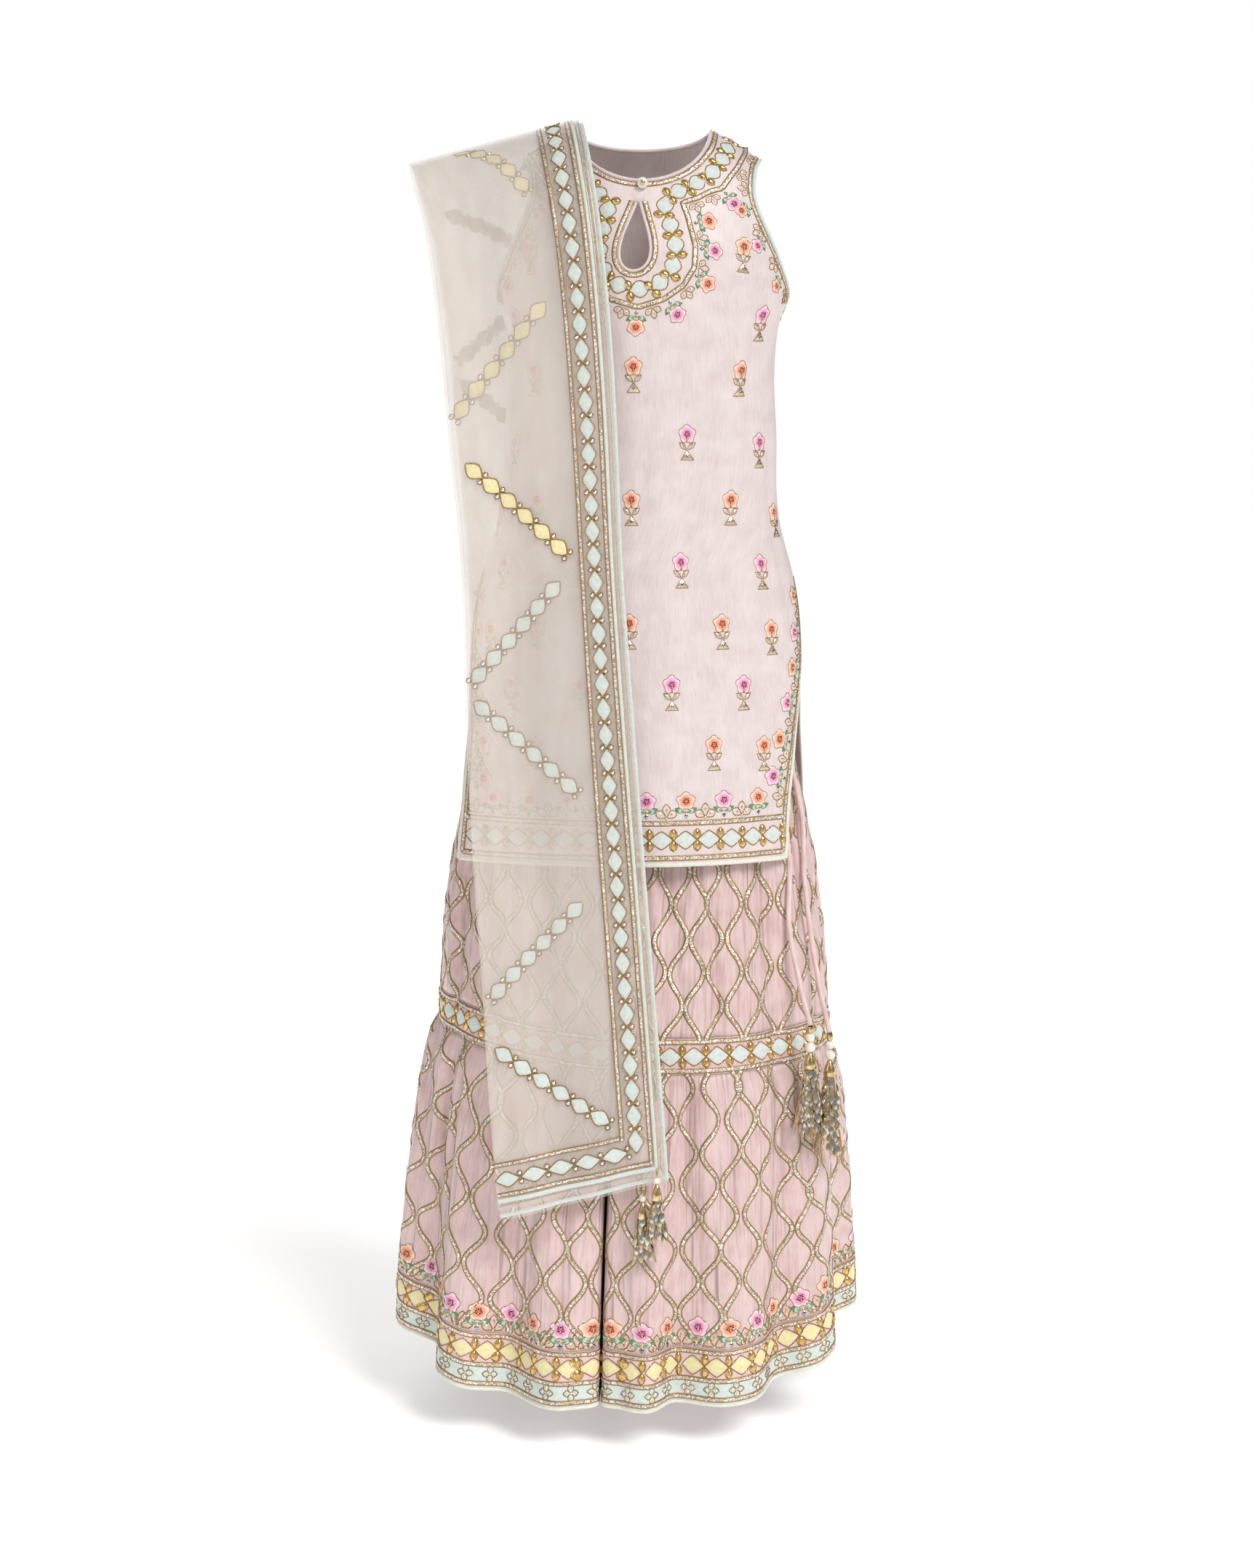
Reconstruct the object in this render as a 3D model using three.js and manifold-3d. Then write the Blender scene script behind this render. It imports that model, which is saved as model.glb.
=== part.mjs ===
// A three-piece festive suit as worn: short sleeveless tunic, two-tier flared trousers, folded shawl.
// Millimetres. +Z up, the front faces -Y, +X is the wearer's left.
// The origin is midway between the neck points of the shoulder seams, where the wearer holds it up.
import * as THREE from "three";
import Module from "manifold-3d";

const wasm = await Module();
wasm.setup();
const { Manifold, Mesh: SolidMesh } = wasm;

// Driving sizes
const SEAM_TOP = 8; // height of the shoulder seam at the neck
const WALL = 1.6; // thickness of the made-up cloth
const NET_WALL = 1.0; // thickness of one layer of the shawl's net
const NET_PITCH = 1.9; // from one folded layer to the next
const SEAM_GAP = 0.2; // half of the gap at a seam
const NECK_HALF = 76; // half width of the neck
const NECK_FRONT = 62; // depth of the front neck
const NECK_BACK = 20; // depth of the back neck
const SLIT_TOP = -490; // where the side slits start
const TUNIC_HEM = -806;
const BIND = 5; // width of the edge binding
const BIND_WALL = 2.4;
const WAIST_TOP = -394;
const WAIST_LOW = -424;
const TIER_TOP = -992; // level of the band between the tiers
const TIER_LOW = -1032;
const HEM_TOP = -1338; // top of the hem border
const HEM_LOW = -1402;

// One curve through the named columns of a short table, by cubic steps
function through(rows, column) {
  const xs = rows.map((r) => r[0]);
  const ys = rows.map((r) => r[column]);
  const n = xs.length;
  const slope = (i) => {
    const a = Math.max(i - 1, 0);
    const b = Math.min(i + 1, n - 1);
    return (ys[b] - ys[a]) / (xs[b] - xs[a]);
  };
  return (x) => {
    const up = xs[n - 1] > xs[0] ? 1 : -1;
    if ((x - xs[0]) * up <= 0) return ys[0];
    if ((x - xs[n - 1]) * up >= 0) return ys[n - 1];
    let i = 0;
    while ((x - xs[i + 1]) * up > 0) i += 1;
    const h = xs[i + 1] - xs[i];
    const t = (x - xs[i]) / h;
    const t2 = t * t;
    const t3 = t2 * t;
    return (
      (2 * t3 - 3 * t2 + 1) * ys[i] +
      (t3 - 2 * t2 + t) * h * slope(i) +
      (3 * t2 - 2 * t3) * ys[i + 1] +
      (t3 - t2) * h * slope(i + 1)
    );
  };
}

const clamp = (x, a = 0, b = 1) => Math.min(Math.max(x, a), b);
const smooth = (x) => {
  const t = clamp(x);
  return t * t * (3 - 2 * t);
};
const lerp = (a, b, t) => a + (b - a) * t;

// Tunic, by root of the depth below the seam: half width, front and back depth, front and
// back centre, and the angle in degrees of the front and back panel's side edge
const TUNIC = [
  [0, 187, 0, 0, 10, 10, 90, 90],
  [2.24, 186, 23, 22, 10, 10, 90, 90],
  [4, 184, 40, 38, 10, 10, 90, 90],
  [6, 181, 60, 57, 10, 10, 90, 90],
  [8, 178, 77, 72, 10, 10, 90, 90],
  [10, 174, 94, 85, 10, 10, 90, 90],
  [11.8, 168.5, 108, 93, 10, 10, 90, 90],
  [13.6, 164, 116, 97, 10, 10, 90, 90],
  [14.8, 153, 118, 97, 10, 10, 90, 90],
  [16.6, 150, 112, 90, 9, 9, 90, 90],
  [18.5, 154, 104, 82, 8, 8, 90, 90],
  [20.0, 155.5, 105, 85, 7, 7, 90, 90],
  [21.0, 161, 109, 94, 6, 6, 90, 90],
  [21.95, 173, 114, 104, 5, 5, 90, 90],
  [22.32, 177, 116, 107, 5, 5, 90, 90],
  [23.2, 185, 119, 114, 4, 4, 86, 87],
  [24.3, 190, 123, 119, 3, 3, 81, 84],
  [25.3, 192, 127, 122, 1, 3, 75, 81],
  [26.1, 196, 131, 125, -1, 2, 69, 77],
  [27.3, 208, 134, 128, -6, 0, 61, 70],
  [28.6, 222, 136, 131, -11, -2, 56, 64],
];
const tunicHalf = through(TUNIC, 1);
const tunicDeep = { "-1": through(TUNIC, 2), 1: through(TUNIC, 3) };
const tunicCentre = { "-1": through(TUNIC, 4), 1: through(TUNIC, 5) };
const tunicSide = { "-1": through(TUNIC, 6), 1: through(TUNIC, 7) };
const ROUND = 0.84; // squareness of the cross sections

function shoulderDrop(x) {
  return 34 * Math.pow(Math.max(Math.abs(x) - 72, 0) / 60, 1.15);
}

// The angle of a panel's side edge: at the side seam, then open along the slit
function sideAngle(z, face) {
  if (z >= SLIT_TOP) return Math.PI / 2;
  return (Math.min(tunicSide[face](Math.sqrt(SEAM_TOP - z)), 90) * Math.PI) / 180;
}

// A point of the tunic: angle 0 at the centre, z before the shoulder drop, face -1 front or 1 back
function tunicPoint(angle, z, face) {
  const root = Math.sqrt(Math.max(SEAM_TOP - z, 0));
  const x = tunicHalf(root) * Math.sin(angle);
  const y = tunicDeep[face](root) * Math.pow(Math.max(Math.cos(angle), 0), ROUND);
  const low = smooth((-520 - z) / 260);
  const fold = 2.4 * low * (1 + Math.sin(5 * angle + (face < 0 ? 0.6 : 2.1)));
  const reach = Math.hypot(x, y) || 1;
  const grow = 1 + fold / reach;
  const ramp = clamp((z + 177) / 185);
  return new THREE.Vector3(
    tunicCentre[face](root) + x * grow,
    face * (y * grow + SEAM_GAP),
    z - shoulderDrop(x) * ramp,
  );
}

function tunicNormal(angle, z, face) {
  const d = 0.01;
  const root = Math.sqrt(Math.max(SEAM_TOP - z, 0));
  const a = tunicPoint(Math.max(angle - d, -Math.PI / 2), z, face);
  const b = tunicPoint(Math.min(angle + d, Math.PI / 2), z, face);
  const up = SEAM_TOP - Math.pow(Math.max(root - 0.04, 0), 2);
  const low = SEAM_TOP - Math.pow(root + 0.04, 2);
  const p = tunicPoint(angle, up, face);
  const q = tunicPoint(angle, low, face);
  const n = b.sub(a).cross(q.sub(p)).normalize();
  if (n.y * face < 0) n.negate();
  if (Math.abs(angle) > Math.PI / 2 - 1e-6 || root < 1e-6) n.setY(0).normalize();
  if (root < 1e-6 && n.z < 0) n.negate();
  if (Math.abs(angle) > Math.PI / 2 - 1e-6 && root > 1e-6 && n.x * angle < 0) n.negate();
  return n;
}

// A closed wall from a grid of points and their outward normals
function wall(points, normals, thick, round = false) {
  const rows = points.length;
  const cols = points[0].length;
  const data = [];
  const faces = [];
  for (const sign of [1, -1]) {
    for (let i = 0; i < rows; i += 1) {
      for (let j = 0; j < cols; j += 1) {
        const p = points[i][j].clone().addScaledVector(normals[i][j], (sign * thick) / 2);
        data.push(p.x, p.y, p.z);
      }
    }
  }
  const at = (side, i, j) => side * rows * cols + i * cols + (j % cols);
  const quad = (a, b, c, d) => faces.push(a, b, c, a, c, d);
  const across = round ? cols : cols - 1;
  for (let i = 0; i + 1 < rows; i += 1) {
    for (let j = 0; j < across; j += 1) {
      quad(at(0, i, j), at(0, i + 1, j), at(0, i + 1, j + 1), at(0, i, j + 1));
      quad(at(1, i, j), at(1, i, j + 1), at(1, i + 1, j + 1), at(1, i + 1, j));
    }
  }
  for (let j = 0; j < across; j += 1) {
    quad(at(0, 0, j), at(0, 0, j + 1), at(1, 0, j + 1), at(1, 0, j));
    quad(at(0, rows - 1, j), at(1, rows - 1, j), at(1, rows - 1, j + 1), at(0, rows - 1, j + 1));
  }
  if (!round) {
    for (let i = 0; i + 1 < rows; i += 1) {
      quad(at(0, i, 0), at(1, i, 0), at(1, i + 1, 0), at(0, i + 1, 0));
      const e = cols - 1;
      quad(at(0, i, e), at(0, i + 1, e), at(1, i + 1, e), at(1, i, e));
    }
  }
  return facingOut(data, faces);
}

function volumeOf(data, faces) {
  let v = 0;
  const p = (k) => new THREE.Vector3(data[3 * k], data[3 * k + 1], data[3 * k + 2]);
  for (let i = 0; i < faces.length; i += 3) {
    v += p(faces[i]).dot(p(faces[i + 1]).cross(p(faces[i + 2]))) / 6;
  }
  return v;
}

function facingOut(data, faces) {
  if (volumeOf(data, faces) < 0) {
    for (let i = 0; i < faces.length; i += 3) {
      const keep = faces[i];
      faces[i] = faces[i + 1];
      faces[i + 1] = keep;
    }
  }
  return { data, faces };
}

function geometry({ data, faces }) {
  const g = new THREE.BufferGeometry();
  g.setAttribute("position", new THREE.Float32BufferAttribute(data, 3));
  g.setIndex(faces);
  g.computeVertexNormals();
  return g;
}

// Joins and cuts
function solid({ data, faces }) {
  return new Manifold(
    new SolidMesh({
      numProp: 3,
      vertProperties: new Float32Array(data),
      triVerts: new Uint32Array(faces),
    }),
  );
}

function back(m) {
  const mesh = m.getMesh();
  return { data: Array.from(mesh.vertProperties), faces: Array.from(mesh.triVerts) };
}

// A prism of a flat outline. place turns (u, v, w) into a point
function prism(outline, low, high, place) {
  const n = outline.length;
  const data = [];
  const faces = [];
  for (const w of [low, high]) {
    for (const [u, v] of outline) data.push(...place(u, v, w));
  }
  const flat = THREE.ShapeUtils.triangulateShape(
    outline.map(([u, v]) => new THREE.Vector2(u, v)),
    [],
  );
  const turn = (a, b, c) =>
    (b[0] - a[0]) * (c[1] - a[1]) - (b[1] - a[1]) * (c[0] - a[0]);
  let area = 0;
  for (let i = 0; i < n; i += 1) area += turn([0, 0], outline[i], outline[(i + 1) % n]);
  for (const [a, b, c] of flat) {
    const same = turn(outline[a], outline[b], outline[c]) * area > 0;
    const [p, q, r] = same ? [a, b, c] : [a, c, b];
    faces.push(p, q, r);
    faces.push(n + r, n + q, n + p);
  }
  for (let i = 0; i < n; i += 1) {
    const j = (i + 1) % n;
    faces.push(j, i, n + i, j, n + i, n + j);
  }
  return facingOut(data, faces);
}

// A bar along a path: section is [out, across] pairs against the path's own normals
function bar(path, normals, section, closed) {
  const n = path.length;
  const m = section.length;
  const data = [];
  const faces = [];
  for (let i = 0; i < n; i += 1) {
    const next = path[closed ? (i + 1) % n : Math.min(i + 1, n - 1)];
    const last = path[closed ? (i + n - 1) % n : Math.max(i - 1, 0)];
    const along = next.clone().sub(last).normalize();
    const side = along.clone().cross(normals[i]).normalize();
    const out = side.clone().cross(along).normalize();
    for (const [u, v] of section) {
      const p = path[i].clone().addScaledVector(out, u).addScaledVector(side, v);
      data.push(p.x, p.y, p.z);
    }
  }
  const steps = closed ? n : n - 1;
  for (let i = 0; i < steps; i += 1) {
    const k = (i + 1) % n;
    for (let j = 0; j < m; j += 1) {
      const l = (j + 1) % m;
      faces.push(i * m + j, k * m + j, k * m + l, i * m + j, k * m + l, i * m + l);
    }
  }
  if (!closed) {
    for (let j = 1; j + 1 < m; j += 1) {
      faces.push(0, j, j + 1);
      const e = (n - 1) * m;
      faces.push(e, e + j + 1, e + j);
    }
  }
  return facingOut(data, faces);
}

function ringSection(radius, sides) {
  return Array.from({ length: sides }, (_, k) => {
    const a = (2 * Math.PI * (k + 0.5)) / sides;
    return [radius * Math.cos(a), radius * Math.sin(a)];
  });
}

// Even steps along a path that carries [angle, z, face]
function evenly(dense, count, closed) {
  const pts = dense.map((d) => d.p);
  const total = [0];
  const n = pts.length;
  const last = closed ? n : n - 1;
  for (let i = 0; i < last; i += 1) total.push(total[i] + pts[i].distanceTo(pts[(i + 1) % n]));
  const out = [];
  let k = 0;
  for (let i = 0; i < count; i += 1) {
    const want = (total[last] * i) / (closed ? count : count - 1);
    while (k + 1 < last && total[k + 1] < want) k += 1;
    const t = clamp((want - total[k]) / (total[k + 1] - total[k] || 1));
    const a = dense[k];
    const b = dense[(k + 1) % n];
    out.push({ p: a.p.clone().lerp(b.p, t), n: a.n.clone().lerp(b.n, t).normalize() });
  }
  return out;
}

// Where a line across the tunic at (y, z) meets its face, as an angle and a level
function armPoint(y, z, side) {
  const face = y < 0 ? -1 : 1;
  const deep = tunicDeep[face];
  const find = (level) => {
    const root = Math.sqrt(Math.max(SEAM_TOP - level, 0));
    const share = clamp(Math.abs(y) / Math.max(deep(root), 1e-6));
    const angle = Math.acos(Math.pow(share, 1 / ROUND));
    const x = tunicHalf(root) * Math.sin(angle);
    return { angle, level, z: level - shoulderDrop(x) * clamp((level + 177) / 185) };
  };
  let low = z;
  let high = SEAM_TOP;
  for (let i = 0; i < 60; i += 1) {
    const mid = (low + high) / 2;
    if (find(mid).z < z) low = mid;
    else high = mid;
  }
  const at = find((low + high) / 2);
  const angle = side * at.angle;
  return { p: tunicPoint(angle, at.level, face), n: tunicNormal(angle, at.level, face) };
}

const ARM = { z: -101.5, half: 75.5, deep: 62 };

function armPath(side) {
  const dense = [];
  for (let i = 0; i < 240; i += 1) {
    const a = (2 * Math.PI * (i + 0.5)) / 240;
    dense.push(armPoint(ARM.deep * Math.cos(a), ARM.z + ARM.half * Math.sin(a), side));
  }
  return evenly(dense, 22, true);
}

function neckPath() {
  const dense = [];
  for (let i = 0; i < 480; i += 1) {
    const a = (2 * Math.PI * (i + 0.5)) / 480;
    const face = Math.sin(a) > 0 ? -1 : 1;
    const deep = face < 0 ? NECK_FRONT : NECK_BACK;
    const z = SEAM_TOP - deep * Math.abs(Math.sin(a));
    const x = NECK_HALF * Math.cos(a);
    const root = Math.sqrt(SEAM_TOP - z);
    const angle = Math.asin(clamp(x / tunicHalf(root), -1, 1));
    dense.push({ p: tunicPoint(angle, z, face), n: tunicNormal(angle, z, face) });
  }
  return evenly(dense, 28, true);
}

// The keyhole: a drop that hangs below the button
const KEY = { top: -68, low: -153, wide: 17 };

function keyOutline(count, from = 0) {
  const mid = (KEY.top + KEY.low) / 2;
  const tall = (KEY.top - KEY.low) / 2;
  return Array.from({ length: count }, (_, i) => {
    const f = from + ((2 * Math.PI - 2 * from) * i) / (from ? count - 1 : count);
    const wide = (KEY.wide / 0.6495) * Math.sin(f) * Math.pow(Math.sin(f / 2), 2);
    const z = mid + tall * Math.cos(f);
    const lean = lerp(-10, -4, (z - KEY.low) / (KEY.top - KEY.low));
    return [lean + wide, z];
  });
}

function onFront(x, z) {
  const root = Math.sqrt(SEAM_TOP - z);
  const angle = Math.asin(clamp(x / tunicHalf(root), -1, 1));
  return { p: tunicPoint(angle, z, -1), n: tunicNormal(angle, z, -1) };
}

// Tunic panels
function tunicPanel(face) {
  const levels = [0, 5, 16, 36, 64, 100, 143, 188, 246, 315, 385, 440, 497].map(
    (d) => SEAM_TOP - d,
  );
  const low = [SLIT_TOP - 1, -560, -640, -722, TUNIC_HEM + BIND + 0.4];
  const cols = 14;
  const points = [];
  const normals = [];
  for (const z of [...levels, ...low]) {
    const inset = z < SLIT_TOP ? (BIND + 0.4) / 150 : 0;
    const side = sideAngle(z < -790 ? TUNIC_HEM : z, face) - inset;
    const row = [];
    const ns = [];
    for (let j = 0; j <= cols; j += 1) {
      const angle = side * ((2 * j) / cols - 1);
      row.push(tunicPoint(angle, z, face));
      ns.push(tunicNormal(angle, z, face));
    }
    points.push(row);
    normals.push(ns);
  }
  let body = solid(wall(points, normals, WALL));
  const deep = face < 0 ? NECK_FRONT : NECK_BACK;
  const neck = [];
  for (let i = 0; i <= 24; i += 1) {
    const a = (Math.PI * i) / 24;
    neck.push([10 - NECK_HALF * Math.cos(a), SEAM_TOP - deep * Math.sin(a)]);
  }
  neck.push([10 + NECK_HALF, 60], [10 - NECK_HALF, 60]);
  const along = (u, v, w) => [u, w, v];
  const range = face < 0 ? [-160, 4] : [-4, 160];
  body = body.subtract(solid(prism(neck, ...range, along)));
  const arm = [];
  for (let i = 0; i < 22; i += 1) {
    const a = (2 * Math.PI * i) / 22;
    arm.push([ARM.deep * Math.cos(a), ARM.z + ARM.half * Math.sin(a)]);
  }
  const sideways = (u, v, w) => [w, u, v];
  body = body.subtract(solid(prism(arm, 70, 260, sideways)));
  body = body.subtract(solid(prism(arm, -240, -50, sideways)));
  const fat = (path, r, closed) => {
    const square = [
      [5, r],
      [-5, r],
      [-5, -r],
      [5, -r],
    ];
    return solid(bar(path.map((q) => q.p), path.map((q) => q.n), square, closed));
  };
  body = body.subtract(fat(neckPath(), 2.9, true));
  body = body.subtract(fat(armPath(1), 2.8, true));
  body = body.subtract(fat(armPath(-1), 2.8, true));
  if (face < 0) {
    const drop = keyOutline(18).map(([x, z]) => [x + 10, z]);
    body = body.subtract(solid(prism(drop, -160, 0, along)));
    const round = keyOutline(18, 0.6).map(([x, z]) => onFront(x, z));
    body = body.subtract(fat(round, 2.7, false));
  }
  const parts = body.decompose().sort((a, b) => b.volume() - a.volume());
  return back(parts[0]);
}

// The strip that closes a panel's slit and hem edges
function edgeStrip(face) {
  const points = [];
  const normals = [];
  const add = (angleOut, zOut, angleIn, zIn) => {
    points.push([tunicPoint(angleOut, zOut, face), tunicPoint(angleIn, zIn, face)]);
    normals.push([tunicNormal(angleOut, zOut, face), tunicNormal(angleIn, zIn, face)]);
  };
  const inset = BIND / 150;
  const hem = TUNIC_HEM;
  const up = [SLIT_TOP - 1, -560, -640, -722];
  for (const z of up) add(-sideAngle(z, face), z, -sideAngle(z, face) + inset, z);
  const edge = sideAngle(hem, face);
  add(-edge, hem, -edge + inset, hem + BIND);
  for (let j = 1; j < 14; j += 1) {
    const f = (2 * j) / 14 - 1;
    add(edge * f, hem, (edge - inset) * f, hem + BIND);
  }
  add(edge, hem, edge - inset, hem + BIND);
  for (const z of up.reverse()) add(sideAngle(z, face), z, sideAngle(z, face) - inset, z);
  return wall(points, normals, BIND_WALL);
}

// Trousers, by level: half width, front depth, back depth, centre, where the legs part
const TROUSERS = [
  [-394, 143, 90, 72, 7, 7],
  [-424, 147, 93, 76, 6, 6],
  [-500, 165, 101, 92, 4, 4],
  [-581, 176, 106, 106, 3, 3],
  [-640, 178, 108, 110, 1, 0],
  [-700, 186, 111, 113, 0, -4],
  [-770, 200, 114, 115, 0, -8],
  [-808, 207, 118, 118, 0, -10],
  [-872, 215, 132, 126, 0, -13],
  [-930, 221, 150, 136, 1, -15],
  [-1012, 226, 174, 152, 1, -18],
  [-1032, 227, 177, 155, 1, -19],
  [-1060, 238, 186, 163, 0, -20],
  [-1110, 245, 193, 170, -2, -22],
  [-1200, 251, 202, 182, -5, -26],
  [-1300, 255, 211, 193, -8, -29],
  [-1402, 257, 220, 202, -10, -31],
];
const legHalf = through(TROUSERS, 1);
const legFront = through(TROUSERS, 2);
const legBack = through(TROUSERS, 3);
const legCentre = through(TROUSERS, 4);
const legPart = through(TROUSERS, 5);
const SEAT_TOP = -590;
const SEAT_LOW = -716;

// Angles of the valleys between the large folds, from the front round to the back
const VALLEYS = {
  1: [-6, 13, 43, 70, 97, 120, 143, 165, 190],
  "-1": [-6, 32, 59, 84, 107, 128, 148, 168, 190],
};

function lobe(side, degrees) {
  const v = VALLEYS[side];
  let i = 0;
  while (i + 2 < v.length && degrees > v[i + 1]) i += 1;
  const p = clamp((degrees - v[i]) / (v[i + 1] - v[i]));
  return { wave: 1 - 2 * Math.pow(Math.abs(Math.cos(Math.PI * p)), 3), p };
}

// Size of the large folds and of the gathers by level
function foldSize(level) {
  const upper = 3.2 * smooth((-700 - level) / 160) * (1 - 0.75 * smooth((-880 - level) / 110));
  const lower = 15 * Math.pow(clamp((TIER_LOW + 6 - level) / 376), 0.8);
  return upper + lower;
}

function gatherSize(level) {
  const below = TIER_LOW - level;
  return 2.2 * smooth(below / 24) * (1 - smooth((below - 60) / 170));
}

// How far the hem and the band between the tiers rise at the sides
function rise(level, across) {
  const band = 17 * across * across - 14 * across;
  const hem = 62 * Math.pow(Math.abs(across), 5);
  const toBand = smooth((-808 - level) / 200);
  const toHem = clamp((-1012 - level) / 390);
  return level > -1012 ? band * toBand : lerp(band, hem, toHem);
}

const OUTLINE = 288;
const LEG_SLANT = 0.03; // how the plane between the legs leans from front to back

// One leg's outline at a level, in even steps from the middle of the inner side
function legOutline(side, level) {
  const a = legHalf(level);
  const cx = legCentre(level);
  const apart = lerp(1.1, 2.4, smooth((SEAT_LOW + 40 - level) / 400));
  const inner = legPart(level) + side * (level > SEAT_TOP ? SEAM_GAP : apart);
  const innerAt = (y) => inner + LEG_SLANT * y;
  const startOf = (y) => Math.asin(clamp((side * (innerAt(y) - cx)) / a, -0.9, 0.9));
  const first = startOf(-legFront(level));
  const last = startOf(legBack(level));
  const dense = [];
  const put = (x, y) => dense.push([x, y]);
  const yAt = (angle) => {
    const c = Math.cos(angle);
    return c >= 0 ? -legFront(level) * Math.pow(c, ROUND) : legBack(level) * Math.pow(-c, ROUND);
  };
  const front = yAt(first);
  const rear = yAt(Math.PI - last);
  for (let i = 0; i < 40; i += 1) put(innerAt((front * i) / 40), (front * i) / 40);
  for (let i = 0; i <= 200; i += 1) {
    const angle = lerp(first, Math.PI - last, i / 200);
    put(cx + side * a * Math.sin(angle), yAt(angle));
  }
  for (let i = 1; i < 40; i += 1) put(innerAt(rear * (1 - i / 40)), rear * (1 - i / 40));
  const total = [0];
  for (let i = 0; i < dense.length; i += 1) {
    const p = dense[i];
    const q = dense[(i + 1) % dense.length];
    total.push(total[i] + Math.hypot(q[0] - p[0], q[1] - p[1]));
  }
  const whole = total[dense.length];
  let k = 0;
  let even = [];
  for (let i = 0; i < OUTLINE; i += 1) {
    const want = (whole * i) / OUTLINE;
    while (total[k + 1] < want) k += 1;
    const t = (want - total[k]) / (total[k + 1] - total[k]);
    const p = dense[k];
    const q = dense[(k + 1) % dense.length];
    even.push([lerp(p[0], q[0], t), lerp(p[1], q[1], t)]);
  }
  const width = Math.round(4 * smooth((SEAT_LOW + 60 - level) / 160));
  if (width > 0) {
    const turn = even;
    even = turn.map((_, i) => {
      let x = 0;
      let y = 0;
      for (let d = -width; d <= width; d += 1) {
        const q = turn[(i + d + OUTLINE) % OUTLINE];
        x += q[0];
        y += q[1];
      }
      return [x / (2 * width + 1), y / (2 * width + 1)];
    });
  }
  const e =
    level >= SEAT_TOP
      ? 1
      : level <= SEAT_LOW
        ? 0
        : 1 - Math.sqrt(1 - Math.pow((level - SEAT_LOW) / (SEAT_TOP - SEAT_LOW), 2));
  const from = (Math.abs(front) / whole) * e;
  const to = 1 - (Math.abs(rear) / whole) * e;
  const shown = even.map(([x, y], i) => {
    const p = even[(i + OUTLINE - 1) % OUTLINE];
    const q = even[(i + 1) % OUTLINE];
    const tx = q[0] - p[0];
    const ty = q[1] - p[1];
    const long = Math.hypot(tx, ty) || 1;
    let nx = ty / long;
    let ny = -tx / long;
    if (side > 0) {
      nx = -nx;
      ny = -ny;
    }
    nx = -nx;
    ny = -ny;
    const fade = smooth((side * (x - innerAt(y)) - 4) / 46);
    const deep = y < 0 ? legFront(level) : legBack(level);
    let degrees = (Math.atan2((side * (x - cx)) / a, -y / deep) * 180) / Math.PI;
    if (degrees < -90) degrees += 360;
    const { wave, p: share } = lobe(side, degrees);
    const small = Math.cos(4 * Math.PI * share);
    const move = fade * (foldSize(level) * wave - gatherSize(level) * small);
    const across = clamp((x - cx) / a, -1, 1);
    return [x + nx * move, y + ny * move, level + rise(level, across)];
  });
  return { shown, from, to };
}

const outlines = new Map();

function legPoint(side, level, share) {
  const key = `${side}/${level.toFixed(2)}`;
  if (!outlines.has(key)) outlines.set(key, legOutline(side, level));
  const { shown, from, to } = outlines.get(key);
  const s = lerp(from, to, share) * OUTLINE;
  const i = Math.floor(s);
  const t = s - i;
  const p = shown[((i % OUTLINE) + OUTLINE) % OUTLINE];
  const q = shown[(((i + 1) % OUTLINE) + OUTLINE) % OUTLINE];
  return new THREE.Vector3(lerp(p[0], q[0], t), lerp(p[1], q[1], t), lerp(p[2], q[2], t));
}

function legNormal(side, level, share, open) {
  const d = 0.004;
  const low = open ? Math.max(share - d, 0) : share - d;
  const high = open ? Math.min(share + d, 1) : share + d;
  const a = legPoint(side, level, low);
  const b = legPoint(side, level, high);
  const p = legPoint(side, level + 1.5, share);
  const q = legPoint(side, level - 1.5, share);
  const n = b.sub(a).cross(q.sub(p)).normalize();
  return side > 0 ? n : n.negate();
}

function legPiece(side, levels, cols, round, thick = WALL) {
  const points = [];
  const normals = [];
  for (const level of levels) {
    const row = [];
    const ns = [];
    const open = !round;
    for (let j = 0; j < (round ? cols : cols + 1); j += 1) {
      let share = j / cols;
      if (open && level < SEAT_LOW + 2) share = lerp(0.0006, 0.9994, share);
      row.push(legPoint(side, level, share));
      const n = legNormal(side, level, share, open);
      if (open && level > SEAT_TOP && (j === 0 || j === cols)) n.setX(0).normalize();
      ns.push(n);
    }
    points.push(row);
    normals.push(ns);
  }
  return wall(points, normals, thick, round);
}

// The waistband: one plain ring above both legs
function waistband() {
  const points = [];
  const normals = [];
  for (const level of [WAIST_TOP, WAIST_LOW + 0.4]) {
    const row = [];
    const ns = [];
    for (let j = 0; j < 28; j += 1) {
      const angle = (2 * Math.PI * j) / 28;
      const c = Math.cos(angle);
      const deep = c >= 0 ? -legFront(level) : legBack(level);
      const y = deep * Math.pow(Math.abs(c), ROUND);
      row.push(new THREE.Vector3(legCentre(level) + legHalf(level) * Math.sin(angle), y, level));
      ns.push(new THREE.Vector3(Math.sin(angle) / legHalf(level), -c / 95, 0).normalize());
    }
    points.push(row);
    normals.push(ns);
  }
  return wall(points, normals, 2.6, true);
}

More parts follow.
